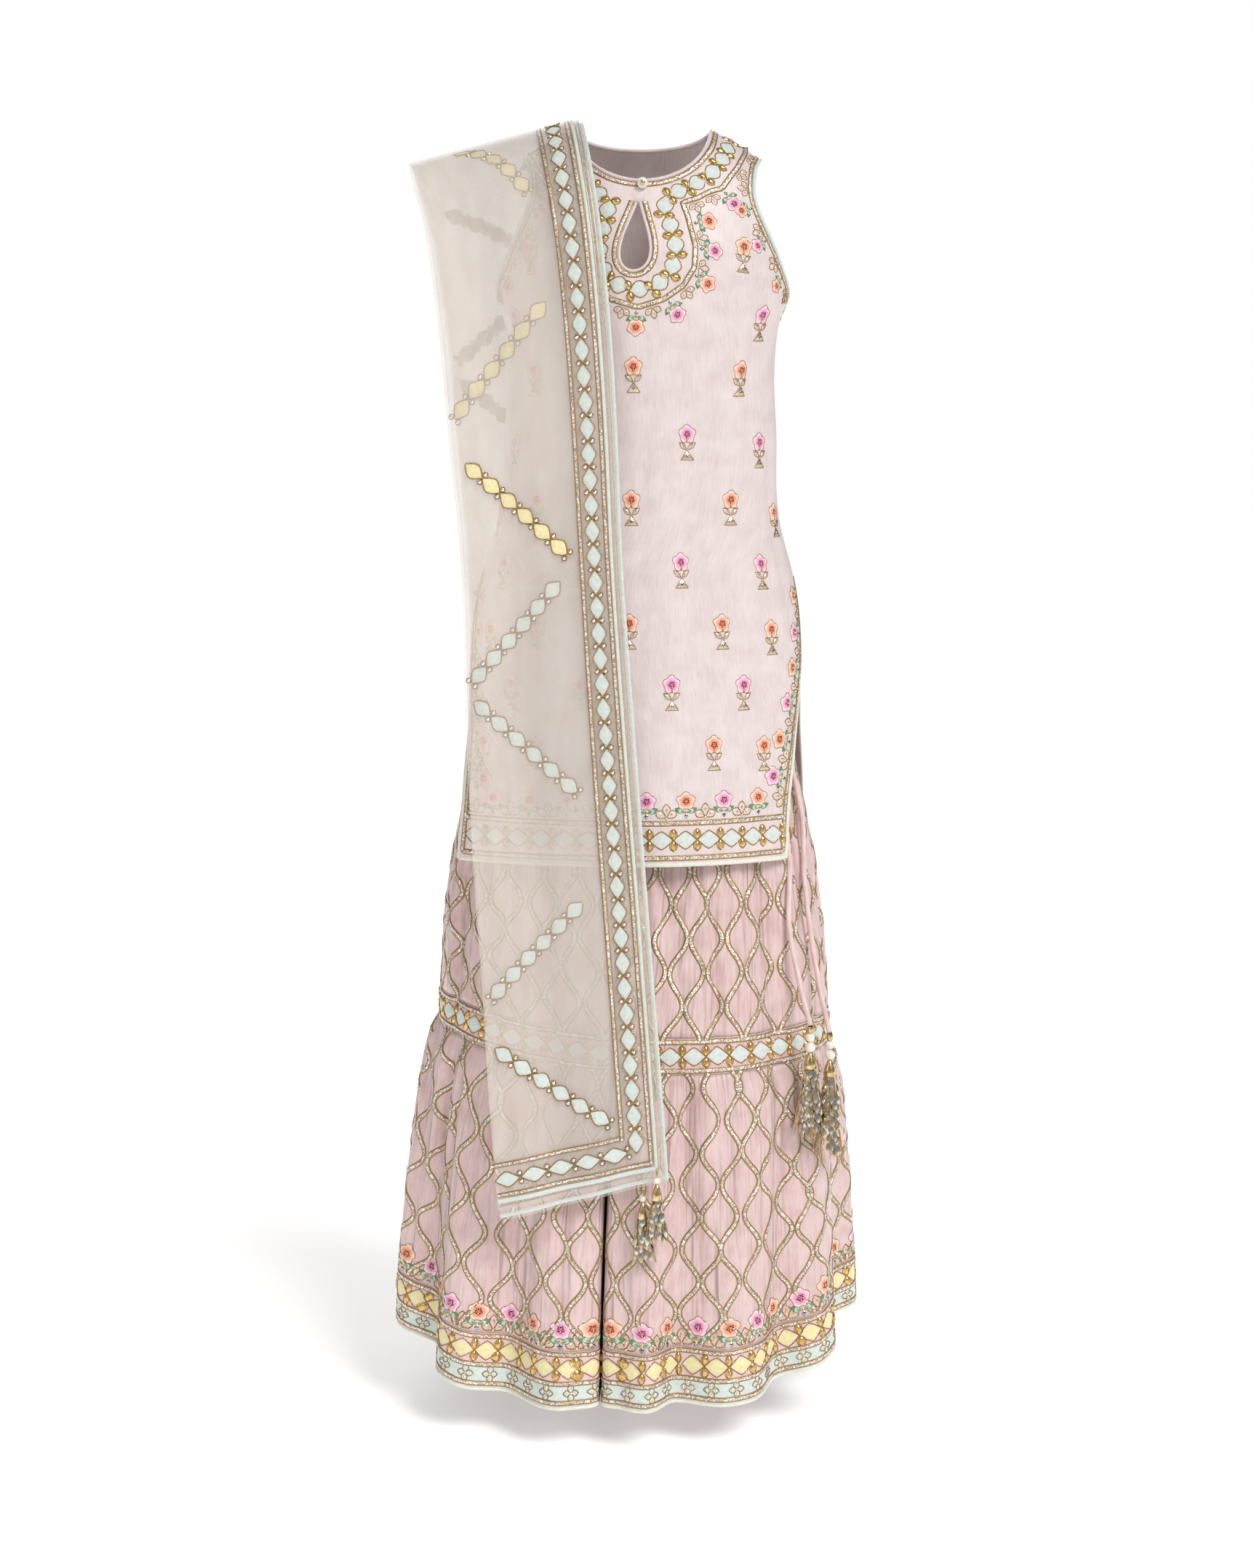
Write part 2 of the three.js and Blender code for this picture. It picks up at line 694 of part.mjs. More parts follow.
// The shawl's course from the front hem over the wearer's right shoulder to the back hem
const COURSE = [
  // step, left edge x y z, right edge x y z
  [0, -147, -216, -1188, 36, -223, -1140],
  [1, -158, -205, -1045, 28, -212, -1030],
  [2, -166, -182, -920, 19, -189, -915],
  [3, -176, -149, -800, 10, -156, -800],
  [4, -184, -124, -640, -2, -140, -640],
  [5, -188, -113, -475, -14, -127, -475],
  [6, -201, -104, -330, -20, -126, -330],
  [7, -211, -94, -215, -27, -128, -212],
  [8, -224, -74, -122, -38, -107, -105],
  [9, -239, -43, -66, -49, -72, -33],
  [10, -247, -18, -41, -56, -34, 1.4],
  [11, -249, 3, -35, -59, 2, 13.9],
  [12, -247, 24, -41, -57, 35, 2.6],
  [13, -240, 50, -66, -52, 71, -33],
  [14, -228, 78, -122, -42, 93, -105],
  [15, -216, 92, -215, -32, 107, -212],
  [16, -206, 96, -330, -26, 106, -330],
  [17, -196, 108, -475, -20, 116, -475],
  [18, -191, 124, -640, -10, 136, -640],
  [19, -186, 136, -800, -2, 147, -800],
  [20, -180, 160, -920, 4, 172, -920],
  [21, -174, 184, -1045, 10, 194, -1040],
  [22, -168, 202, -1168, 16, 208, -1150],
];
const course = [1, 2, 3, 4, 5, 6].map((c) => through(COURSE, c));
const SHAWL_WIDE = 198;

function shawlBase(step, share) {
  const [lx, ly, lz, rx, ry, rz] = course.map((f) => f(step));
  return new THREE.Vector3(lerp(lx, rx, share), lerp(ly, ry, share), lerp(lz, rz, share));
}

function shawlNormal(step, share) {
  const a = shawlBase(step, share - 0.02);
  const b = shawlBase(step, share + 0.02);
  const p = shawlBase(Math.max(step - 0.03, 0), share);
  const q = shawlBase(Math.min(step + 0.03, 22), share);
  return b.sub(a).cross(q.sub(p)).normalize();
}

function shawlPoint(step, share, height) {
  const n = shawlNormal(step, share);
  const calm = smooth(Math.abs(step - 11) / 4);
  const wave = 2.2 * calm * (1 - Math.cos(2 * Math.PI * 2.5 * share + 0.25 * step));
  return shawlBase(step, share).addScaledVector(n, height + wave);
}

// The folded section as [across, height, layer]: four layers with both long edges at the right
function foldedSection() {
  const line = [];
  const cols = 4;
  const right = [SHAWL_WIDE - 6, SHAWL_WIDE - 2, SHAWL_WIDE - 2, SHAWL_WIDE + 3];
  for (let k = 0; k < 4; k += 1) {
    const h = (3 - k) * NET_PITCH + NET_WALL / 2;
    const left = k < 2 ? 0 : 2.5;
    for (let j = 0; j <= cols; j += 1) {
      const t = k % 2 === 0 ? 1 - j / cols : j / cols;
      line.push([lerp(left, right[k], t), h, k]);
    }
    if (k < 3) {
      const out = k % 2 === 0 ? left - 1.1 : right[k] + 1.1;
      line.push([out, h - NET_PITCH / 2, k + 0.5]);
    }
  }
  return line;
}

function shawl() {
  const line = foldedSection();
  const n = line.length;
  const edge = (sign) =>
    line.map(([c, h, layer], i) => {
      const p = line[Math.max(i - 1, 0)];
      const q = line[Math.min(i + 1, n - 1)];
      let tx = q[0] - p[0];
      let ty = q[1] - p[1];
      if (layer % 1 === 0) {
        tx = layer % 2 === 0 ? -1 : 1;
        ty = 0;
      }
      const long = Math.hypot(tx, ty);
      return [c - (sign * ty * NET_WALL) / 2 / long, h + (sign * tx * NET_WALL) / 2 / long, layer];
    });
  const outline = [...edge(1), ...edge(-1).reverse()];
  const m = outline.length;
  const steps = 28;
  const data = [];
  const faces = [];
  for (let i = 0; i <= steps; i += 1) {
    for (const [c, h, layer] of outline) {
      const from = -0.05 * (layer - 3) * 0.9;
      const to = 22 + 0.05 * (layer - 3) * 0.9;
      const p = shawlPoint(lerp(from, to, i / steps), c / SHAWL_WIDE, h);
      data.push(p.x, p.y, p.z);
    }
  }
  for (let i = 0; i < steps; i += 1) {
    for (let j = 0; j < m; j += 1) {
      const l = (j + 1) % m;
      const a = i * m;
      const b = (i + 1) * m;
      faces.push(a + j, b + j, b + l, a + j, b + l, a + l);
    }
  }
  for (let j = 0; j + 1 < n; j += 1) {
    const p = j;
    const q = j + 1;
    const r = m - 1 - j;
    const s = m - 2 - j;
    faces.push(p, q, s, p, s, r);
    const e = steps * m;
    faces.push(e + p, e + s, e + q, e + p, e + r, e + s);
  }
  return facingOut(data, faces);
}

// A turned body round a vertical axis, from [radius, z] pairs that start and end on the axis
function turned(profile, sides, x, y) {
  const data = [];
  const faces = [];
  const inner = profile.slice(1, -1);
  data.push(x, y, profile[0][1]);
  for (const [r, z] of inner) {
    for (let j = 0; j < sides; j += 1) {
      const a = (2 * Math.PI * j) / sides;
      data.push(x + r * Math.cos(a), y + r * Math.sin(a), z);
    }
  }
  data.push(x, y, profile[profile.length - 1][1]);
  const last = 1 + inner.length * sides;
  for (let j = 0; j < sides; j += 1) {
    const k = (j + 1) % sides;
    faces.push(0, 1 + j, 1 + k);
    for (let i = 0; i + 1 < inner.length; i += 1) {
      const a = 1 + i * sides;
      const b = a + sides;
      faces.push(a + j, b + j, b + k, a + j, b + k, a + k);
    }
    const e = 1 + (inner.length - 1) * sides;
    faces.push(last, e + k, e + j);
  }
  return facingOut(data, faces);
}

// A tassel: beads and a cap as one turned body, with strands rooted in the cap
function tassel(x, y, top, profile, strands, capRadius, root, low, sides) {
  let body = solid(turned(profile.map(([r, z]) => [r, top + z]), sides, x, y));
  for (let i = 0; i < strands; i += 1) {
    const a = 2.399963 * i;
    const r = capRadius * Math.sqrt((i + 0.5) / strands);
    const spread = 1.35;
    const end = low + 5 * ((i * 7) % 3);
    const path = [
      new THREE.Vector3(x + r * Math.cos(a), y + r * Math.sin(a), top + root),
      new THREE.Vector3(x + spread * r * Math.cos(a), y + spread * r * Math.sin(a), top + end),
    ];
    const out = new THREE.Vector3(Math.cos(a), Math.sin(a), 0);
    body = body.add(solid(bar(path, [out, out], ringSection(0.75, 3), false)));
  }
  return back(body);
}

const CORNER = [
  [0, 0],
  [1.2, -0.6],
  [1.2, -10],
  [3.2, -13],
  [3.2, -17],
  [1.6, -20],
  [3.6, -24],
  [6, -34],
  [0, -34.5],
];
const DRAW = [
  [0, 0],
  [3.4, -3],
  [3.4, -9],
  [1.6, -12],
  [4.6, -16],
  [4.6, -20],
  [1.6, -24],
  [4.8, -28],
  [4.8, -32],
  [1.8, -36],
  [7.5, -44],
  [9.5, -56],
  [0, -56.5],
];

// The two free ends of the drawstring
// down the trousers as [angle in degrees, level, distance out], then free as [x, y, z]
const DRAW_ENDS = {
  a: {
    down: [
      [61, -408, 3.8],
      [62.5, -436, 4.2],
      [66, -500, 5],
      [69, -590, 5],
      [70, -680, 5],
      [71, -766, 5],
    ],
    free: [[195, -62, -830], [203, -77, -900], [213, -102, -960], [221, -128, -997]],
  },
  b: {
    down: [
      [53, -408, 3.8],
      [54, -436, 4.2],
      [57, -500, 5],
      [59, -590, 5],
      [59, -680, 5],
      [58, -766, 5],
      [56.5, -820, 5],
    ],
    free: [[176, -97, -880], [187, -121, -940], [198, -142, -985]],
  },
};

function drawRoute({ down, free }) {
  const beside = down.map(([degrees, level, off]) => {
    const angle = (degrees * Math.PI) / 180;
    const a = legHalf(level);
    const b = legFront(level);
    const y = -b * Math.pow(Math.cos(angle), ROUND);
    const out = new THREE.Vector2(Math.sin(angle) / a, -Math.cos(angle) / b).normalize();
    return [legCentre(level) + a * Math.sin(angle) + out.x * off, y + out.y * off, level];
  });
  return [...beside, ...free];
}

function drawCord(points) {
  const path = new THREE.CatmullRomCurve3(points.map((p) => new THREE.Vector3(...p)));
  const shape = new THREE.Shape();
  for (let k = 0; k < 8; k += 1) {
    const a = (2 * Math.PI * k) / 8;
    const at = [2.2 * Math.cos(a), 2.2 * Math.sin(a)];
    if (k === 0) shape.moveTo(...at);
    else shape.lineTo(...at);
  }
  shape.closePath();
  return new THREE.ExtrudeGeometry(shape, {
    steps: 28,
    extrudePath: path,
    bevelEnabled: false,
    curveSegments: 1,
  });
}

// Materials
const cloth = (hex, rough) => new THREE.MeshStandardMaterial({ color: hex, roughness: rough });
const M = {
  blush: cloth(0xebd8d6, 0.5),
  rose: cloth(0xe3c3c0, 0.45),
  mint: cloth(0xd9e3dc, 0.6),
  ivory: cloth(0xe5d9ce, 0.7),
  gold: new THREE.MeshStandardMaterial({ color: 0xb8935f, roughness: 0.35, metalness: 1 }),
};

const suit = new THREE.Group();
suit.name = "sharara_suit";

function add(name, shape, material) {
  const mesh = new THREE.Mesh(shape.isBufferGeometry ? shape : geometry(shape), material);
  mesh.name = name;
  suit.add(mesh);
}

add("tunic_front", tunicPanel(-1), M.blush);
add("tunic_back", tunicPanel(1), M.blush);
add("tunic_front_edge", edgeStrip(-1), M.mint);
add("tunic_back_edge", edgeStrip(1), M.mint);
const piping = (path, r, sides, closed) =>
  bar(path.map((q) => q.p), path.map((q) => q.n), ringSection(r, sides), closed);
add("neck_binding", piping(neckPath(), 2.4, 6, true), M.mint);
add("armhole_binding_left", piping(armPath(1), 2.2, 6, true), M.mint);
add("armhole_binding_right", piping(armPath(-1), 2.2, 6, true), M.mint);
const hole = keyOutline(16, 0.72).map(([x, z]) => onFront(x, z));
add("keyhole_binding", piping(hole, 2.0, 6, false), M.mint);

const pin = onFront(0, -57);
add(
  "neck_button",
  (() => {
    const g = new THREE.SphereGeometry(6.2, 10, 7);
    g.scale(1, 0.7, 1);
    g.translate(pin.p.x, pin.p.y - 6.3, pin.p.z);
    return g;
  })(),
  M.gold,
);

add("waistband", waistband(), M.rose);
const UPPER = [WAIST_LOW, -520, SEAT_TOP - 2, -676, -715, -724, -806, -900, TIER_TOP + 0.5];
const LOWER = [TIER_LOW - 0.5, -1058, -1120, -1225, HEM_TOP + 0.4];
for (const [word, side] of [
  ["left", 1],
  ["right", -1],
]) {
  add(`upper_tier_${word}`, legPiece(side, UPPER, 34, false), M.rose);
  add(`tier_band_${word}`, legPiece(side, [TIER_TOP, TIER_LOW], 40, true, 2), M.rose);
  add(`lower_tier_${word}`, legPiece(side, LOWER, 56, true), M.rose);
  add(`hem_border_${word}`, legPiece(side, [HEM_TOP, HEM_LOW], 56, true, 2), M.mint);
}

add("shawl", shawl(), M.ivory);

// Corner tassels hang in front of the outer layer's corner and below the inner layer's
const corner = (name, step, across, height, lift) => {
  const p = shawlPoint(step, across, height);
  add(name, tassel(p.x, p.y, p.z + lift, CORNER, 10, 4.6, -30, -82, 6), M.gold);
};
const OUTER = 3.5 * NET_PITCH + NET_WALL / 2 + 1.2;
corner("corner_tassel_front_outer", 0.16, 0.955, OUTER, 0);
corner("corner_tassel_front_inner", 0, 0.86, NET_WALL / 2, -0.3);
corner("corner_tassel_back_outer", 21.84, 0.955, OUTER + 0.4, 0);
corner("corner_tassel_back_inner", 22, 0.86, NET_WALL / 2, 0.6);

for (const [word, end] of Object.entries(DRAW_ENDS)) {
  const points = drawRoute(end);
  add(`drawstring_end_${word}`, drawCord(points), M.rose);
  const [x, y, z] = points[points.length - 1];
  const low = word === "a" ? -158 : -140;
  add(`drawstring_tassel_${word}`, tassel(x, y, z - 0.9, DRAW, 14, 8, -52, low, 6), M.gold);
}

export default suit;
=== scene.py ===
# %% [markdown]
# # A three-piece festive suit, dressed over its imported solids
# The real suit is a short silk tunic with side slits, silk trousers in two gathered tiers, and a net
# shawl folded lengthways over one shoulder. All of it is bordered with applique, gold cord and sequins.
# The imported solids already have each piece's true form, so each cloth here is the same form, worked out
# again from the same sizes on a finer grid, with its creases, and the embroidery is laid on that cloth.

# %% The frame
from functools import partial

import bpy
import mathutils
import numpy as np
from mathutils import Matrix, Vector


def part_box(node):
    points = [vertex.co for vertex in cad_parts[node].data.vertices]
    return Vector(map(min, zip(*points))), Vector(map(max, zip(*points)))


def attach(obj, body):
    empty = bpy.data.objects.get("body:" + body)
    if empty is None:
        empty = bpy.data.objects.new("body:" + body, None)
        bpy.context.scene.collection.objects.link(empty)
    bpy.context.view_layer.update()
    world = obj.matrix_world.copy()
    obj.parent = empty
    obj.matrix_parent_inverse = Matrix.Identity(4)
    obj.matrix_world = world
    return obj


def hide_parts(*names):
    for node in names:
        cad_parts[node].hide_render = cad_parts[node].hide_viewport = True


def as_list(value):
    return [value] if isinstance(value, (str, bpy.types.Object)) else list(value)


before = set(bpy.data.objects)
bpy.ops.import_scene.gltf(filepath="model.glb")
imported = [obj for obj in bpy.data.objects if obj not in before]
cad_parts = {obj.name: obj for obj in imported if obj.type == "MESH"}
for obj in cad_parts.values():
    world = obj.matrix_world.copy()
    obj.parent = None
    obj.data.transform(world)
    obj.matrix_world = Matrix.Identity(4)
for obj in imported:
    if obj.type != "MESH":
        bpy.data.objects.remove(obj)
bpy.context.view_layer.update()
MM = 0.001


def in_scene(name, data):
    """A new object that holds the data, put in the scene at its origin."""
    thing = bpy.data.objects.new(name, data)
    bpy.context.scene.collection.objects.link(thing)
    return thing


print("solids in the frame:", len(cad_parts))

# %% [markdown]
# ## The camera
# The photograph was taken from about three metres, a little above the waist and tipped down by eight
# degrees. A camera with the same place, tilt and lens puts every seam where the photograph shows it.

# %% Camera
CAMERA_AT, TILT, LENS = (-0.007, -3.100, -0.300), 7.93, 62.1
camera_data = bpy.data.cameras.new("camera")
camera_data.lens = LENS
camera_data.clip_end = 40
camera = in_scene("camera", camera_data)
camera.location = CAMERA_AT
camera.rotation_euler = (np.radians(90 - TILT), 0, 0)
bpy.context.scene.camera = camera
bpy.context.scene.view_settings.view_transform = "Standard"
print("camera at", tuple(camera.location))

# %% [markdown]
# ## Curves through a short table
# A maker notes a garment's width and depth at a few levels and draws a fair curve through them. The
# same is done here: a table of a few rows, and a smooth curve through each column.

# %% Fair curves
def clamp(x, low=0.0, high=1.0):
    return np.clip(x, low, high)


def smooth(x):
    """Rises from 0 to 1 with level ends: three times the square less twice the cube."""
    t = clamp(x)
    return t * t * (3 - 2 * t)


def through(rows, column):
    """A cubic on each span, from its two end heights and two end slopes, the slopes being those
    of the chord between the neighbours on either side."""
    xs = np.array([row[0] for row in rows], float)
    ys = np.array([row[column] for row in rows], float)
    if xs[0] > xs[-1]:
        xs, ys = xs[::-1], ys[::-1]
    slope = np.empty_like(ys)
    slope[1:-1] = (ys[2:] - ys[:-2]) / (xs[2:] - xs[:-2])
    slope[0] = (ys[1] - ys[0]) / (xs[1] - xs[0])
    slope[-1] = (ys[-1] - ys[-2]) / (xs[-1] - xs[-2])

    def curve(x):
        x = np.clip(x, xs[0], xs[-1])
        i = np.clip(np.searchsorted(xs, x, side="right") - 1, 0, len(xs) - 2)
        h = xs[i + 1] - xs[i]
        t = (x - xs[i]) / h
        start = (2 * t**3 - 3 * t**2 + 1) * ys[i] + (t**3 - 2 * t**2 + t) * h * slope[i]
        end = (3 * t**2 - 2 * t**3) * ys[i + 1] + (t**3 - t**2) * h * slope[i + 1]
        return start + end

    return curve


def walked(points):
    """The distance gone along a row of points, from 0 at the first."""
    return np.r_[0, np.cumsum(np.linalg.norm(np.diff(points, axis=0), axis=1))]


def unit(v):
    """Vectors of the same direction, and length 1."""
    return v / np.maximum(np.linalg.norm(v, axis=-1, keepdims=True), 1e-9)


def pairs(u, v):
    """The uv of a grid of points, from a row and a column of values."""
    return np.stack(np.broadcast_arrays(u, v), -1)


def fair_line(points, count):
    """A smooth line through points of any dimension, each coordinate a fair curve of the distance
    along the chords, in equal steps of that distance."""
    rows = np.c_[walked(points), points]
    where = np.linspace(0, rows[-1, 0], count)
    return np.stack([through(rows, k)(where) for k in range(1, rows.shape[1])], -1)


def soft_creases(along, across, creases):
    """Listed troughs and ridges, each (place across, lean, top, low, width, depth): a bell
    across its line times a rise and fall between its top and low ends."""
    total = np.zeros(np.broadcast(along, across).shape)
    for place, lean, top, low, width, depth in creases:
        share = clamp((top - along) / (top - low))
        ends = smooth(share * 4) * smooth((1 - share) * 3)
        total += depth * ends * np.exp(-(((across - place - lean * share) / width) ** 2))
    return total


print("a fair curve's middle:", round(float(through([(0, 0), (1, 1), (2, 0)], 1)(0.5)), 3))

# %% [markdown]
# ## From arrays to a mesh
# Blender keeps a mesh as flat lists of points, corners and faces. Filling them in one go from numpy is
# far quicker than a loop, and one function does it for every piece here. Small shapes that repeat,
# such as petals, are gathered in a heap first, so that a whole row of flowers is one piece.

# %% Meshes from arrays
def make_piece(name, points, faces, uv, tint=None, period=0.0):
    """Points in millimetres, faces as arrays of three or four corners, uv in the finish's units.
    Where a face spans more than half the period across, its low corners go up by a period."""
    mesh = bpy.data.meshes.new(name)
    faces = [np.asarray(f) for f in faces if len(f)]
    corners = np.concatenate([f.ravel() for f in faces])
    sizes = np.concatenate([np.full(len(f), f.shape[1]) for f in faces])
    starts = np.r_[0, np.cumsum(sizes)[:-1]]
    mesh.vertices.add(len(points))
    mesh.vertices.foreach_set("co", (np.asarray(points, float) * MM).ravel())
    mesh.loops.add(len(corners))
    mesh.loops.foreach_set("vertex_index", corners)
    mesh.polygons.add(len(sizes))
    mesh.polygons.foreach_set("loop_start", starts)
    mesh.polygons.foreach_set("use_smooth", np.ones(len(sizes), bool))
    places = np.asarray(uv, float)[corners].copy()
    if period:
        low = np.repeat(np.minimum.reduceat(places[:, 0], starts), sizes)
        high = np.repeat(np.maximum.reduceat(places[:, 0], starts), sizes)
        places[:, 0] += period * ((high - low > period / 2) & (places[:, 0] < period / 2))
    layer = mesh.uv_layers.new(name="UVMap")
    layer.data.foreach_set("uv", places.ravel())
    if tint is not None:
        colour = mesh.attributes.new("tint", "FLOAT", "POINT")
        colour.data.foreach_set("value", np.asarray(tint, float))
    mesh.update()
    mesh.validate()
    return in_scene(name, mesh)


def grid_faces(rows, cols, round_it=False, flip=False):
    """The four-cornered faces of a grid of points, its columns closed on themselves or not."""
    i, j = np.meshgrid(np.arange(rows - 1), np.arange(cols if round_it else cols - 1), indexing="ij")
    k = (j + 1) % cols
    quads = np.stack([i * cols + j, (i + 1) * cols + j, (i + 1) * cols + k, i * cols + k], -1)
    quads = quads.reshape(-1, 4)
    return quads[:, ::-1] if flip else quads


class Heap:
    """Many small shapes of one finish, gathered to be one joined piece."""

    def __init__(self):
        self.points, self.faces, self.uv, self.tint, self.count = [], [], [], [], 0

    def add(self, points, faces, uv, tint=None):
        points = np.asarray(points, float).reshape(-1, 3)
        self.points.append(points)
        self.faces.append(np.asarray(faces) + self.count)
        self.uv.append(np.asarray(uv, float).reshape(-1, 2))
        self.tint.append(np.zeros(len(points)) if tint is None else np.asarray(tint, float).ravel())
        self.count += len(points)

    def piece(self, name):
        points, uv = np.concatenate(self.points), np.concatenate(self.uv)
        return make_piece(name, points, self.faces, uv, np.concatenate(self.tint))


def triangles(piece):
    return sum(len(p.vertices) - 2 for p in piece.data.polygons)


print("a grid of 3 by 4 points has", len(grid_faces(3, 4)), "faces")

# %% [markdown]
# ## A cloth surface
# Each cloth is a function of two parameters: one across it and one that falls as it goes down. What is
# sewn on it needs three things: the point, the outward direction, and how far a millimetre across or
# down goes in the parameters. All three come from small steps of the same function.

# %% Cloth as a function
class Cloth:
    """at(a, b) gives points in millimetres. step is a small change of a and of b, and side turns
    the cross product of the two tangents outwards."""

    def __init__(self, at, step, side):
        self.at, self.step, self.side = at, step, side

    def tangents(self, a, b):
        ea, eb = self.step
        across = (self.at(a + ea, b) - self.at(a - ea, b)) / (2 * ea)
        up = (self.at(a, b + eb) - self.at(a, b - eb)) / (2 * eb)
        return across, up

    def outward(self, a, b):
        across, up = self.tangents(a, b)
        return unit(np.cross(across, up) * self.side)

    def lifted(self, a, b, height):
        """The cloth's point, moved out along its normal by the height."""
        a, b, height = np.broadcast_arrays(a, b, height)
        return self.at(a, b) + self.outward(a, b) * height[..., None]

    def moved(self, a, b, across, up):
        """Parameters of the point that lies so many millimetres across and up from (a, b), by the
        tangents at (a, b): up is taken square to the across direction."""
        ta, tb = self.tangents(a, b)
        la = np.linalg.norm(ta, axis=-1)
        e1 = ta / np.maximum(la, 1e-9)[..., None]
        along = (tb * e1).sum(-1)
        square = np.linalg.norm(tb - e1 * along[..., None], axis=-1)
        db = up / np.maximum(square, 1e-9)
        return a + (across - db * along) / np.maximum(la, 1e-9), b + db

    def heading(self, a, b):
        """How far each step of a path goes across and up, in the cloth's own plane."""
        ta, tb = self.tangents(a, b)
        e1 = unit(ta)
        e2 = unit(tb - e1 * (tb * e1).sum(-1, keepdims=True))
        way = np.gradient(self.at(a, b), axis=0)
        return (way * e1).sum(-1), (way * e2).sum(-1)


# %% [markdown]
# ## The tunic's form
# The tunic hangs from its shoulder seams: a rounded section at each level, deepest at the bust, close
# at the waist and wide at the hem, where the side slits let the panels stand apart. Its levels are
# spaced by the root of the drop below the seam, because the cloth is nearly level at the shoulder.

# %% Tunic sizes and surface
SEAM_TOP, SEAM_GAP, ROUND = 8, 0.2, 0.84
SLIT_TOP, TUNIC_HEM = -490, -806
SHOULDER_DROP, NECK_FLAT, SHOULDER_REACH = 34, 72, 60
FOLD_DEEP, FOLD_TOP, FOLD_SPAN, CREASE_GAIN = 2.4, -520, 260, 1.5
# root of the drop: half width, front and back depth, front and back centre, front and back side angle
TUNIC = [
    (0, 187, 0, 0, 10, 10, 90, 90),
    (2.24, 186, 23, 22, 10, 10, 90, 90),
    (4, 184, 40, 38, 10, 10, 90, 90),
    (6, 181, 60, 57, 10, 10, 90, 90),
    (8, 178, 77, 72, 10, 10, 90, 90),
    (10, 174, 94, 85, 10, 10, 90, 90),
    (11.8, 168.5, 108, 93, 10, 10, 90, 90),
    (13.6, 164, 116, 97, 10, 10, 90, 90),
    (14.8, 153, 118, 97, 10, 10, 90, 90),
    (16.6, 150, 112, 90, 9, 9, 90, 90),
    (18.5, 154, 104, 82, 8, 8, 90, 90),
    (20.0, 155.5, 105, 85, 7, 7, 90, 90),
    (21.0, 161, 109, 94, 6, 6, 90, 90),
    (21.95, 173, 114, 104, 5, 5, 90, 90),
    (22.32, 177, 116, 107, 5, 5, 90, 90),
    (23.2, 185, 119, 114, 4, 4, 86, 87),
    (24.3, 190, 123, 119, 3, 3, 81, 84),
    (25.3, 192, 127, 122, 1, 3, 75, 81),
    (26.1, 196, 131, 125, -1, 2, 69, 77),
    (27.3, 208, 134, 128, -6, 0, 61, 70),
    (28.6, 222, 136, 131, -11, -2, 56, 64),
]
FRONT, BACK = -1, 1
FACES = ((FRONT, "front"), (BACK, "back"))
tunic_half = through(TUNIC, 1)
tunic_deep = {FRONT: through(TUNIC, 2), BACK: through(TUNIC, 3)}
tunic_centre = {FRONT: through(TUNIC, 4), BACK: through(TUNIC, 5)}
tunic_side = {FRONT: through(TUNIC, 6), BACK: through(TUNIC, 7)}
# degrees round the panel, lean, top, low, width in degrees, depth in millimetres
TUNIC_CREASES = {
    FRONT: [
        (57, -9, -150, -330, 3.0, -1.5),
        (49, -6, -190, -430, 3.4, 1.2),
        (38, -4, -230, -560, 3.2, -1.4),
        (30, -2, -300, -800, 3.8, 1.5),
        (20, -2, -240, -620, 3.0, -1.2),
        (11, -1, -330, -830, 3.4, 1.3),
        (2, -1, -260, -700, 2.6, -1.1),
        (-9, 0, -300, -830, 3.6, 1.2),
        (-21, 3, -230, -640, 3.0, -1.4),
        (-34, 4, -290, -780, 3.8, 1.5),
        (-47, 5, -180, -520, 3.2, -1.2),
        (44, 3, -560, -830, 3.0, -1.4),
        (60, 2, -420, -700, 3.0, 1.2),
        (-60, -2, -430, -720, 3.0, 1.2),
        (70, -3, -330, -470, 3.0, -1.4),
    ],
    BACK: [
        (52, -7, -120, -330, 3.4, -1.5),
        (36, -3, -160, -480, 3.6, 1.4),
        (22, -2, -300, -830, 3.2, -1.3),
        (8, -1, -240, -640, 3.8, 1.4),
        (-7, 1, -330, -830, 3.2, -1.3),
        (-19, 2, -200, -560, 3.4, 1.2),
        (-33, 3, -320, -820, 3.8, -1.4),
        (-50, 6, -130, -340, 3.2, -1.3),
        (45, 2, -520, -830, 3.4, 1.4),
        (-45, -2, -540, -830, 3.2, 1.3),
        (62, -3, -380, -560, 3.0, -1.3),
    ],
}


def shoulder_fall(x, z):
    """How far the shoulder slopes down beyond the neck: a power a little over one of the distance,
    full at the seam and gone below the armhole."""
    beyond = np.maximum(np.abs(x) - NECK_FLAT, 0) / SHOULDER_REACH
    return SHOULDER_DROP * beyond**1.15 * clamp((z + 177) / 185)


def tunic_at(angle, z, face):
    """x is the half width times the sine of the angle and y the depth times the cosine to a power
    below one, which squares the section. Folds and creases push the point out from the middle, and
    the shoulder's slope lowers it beyond the neck."""
    angle, z = np.broadcast_arrays(np.asarray(angle, float), np.asarray(z, float))
    root = np.sqrt(np.maximum(SEAM_TOP - z, 0))
    x = tunic_half(root) * np.sin(angle)
    y = tunic_deep[face](root) * np.maximum(np.cos(angle), 0) ** ROUND
    ripple = 1 + np.sin(5 * angle + (0.6 if face == FRONT else 2.1))
    fold = FOLD_DEEP * smooth((FOLD_TOP - z) / FOLD_SPAN) * ripple
    fold = fold + CREASE_GAIN * soft_creases(z, np.degrees(angle), TUNIC_CREASES[face])
    grow = 1 + fold / np.maximum(np.hypot(x, y), 1)
    place = tunic_centre[face](root) + x * grow
    return np.stack([place, face * (y * grow + SEAM_GAP), z - shoulder_fall(x, z)], -1)


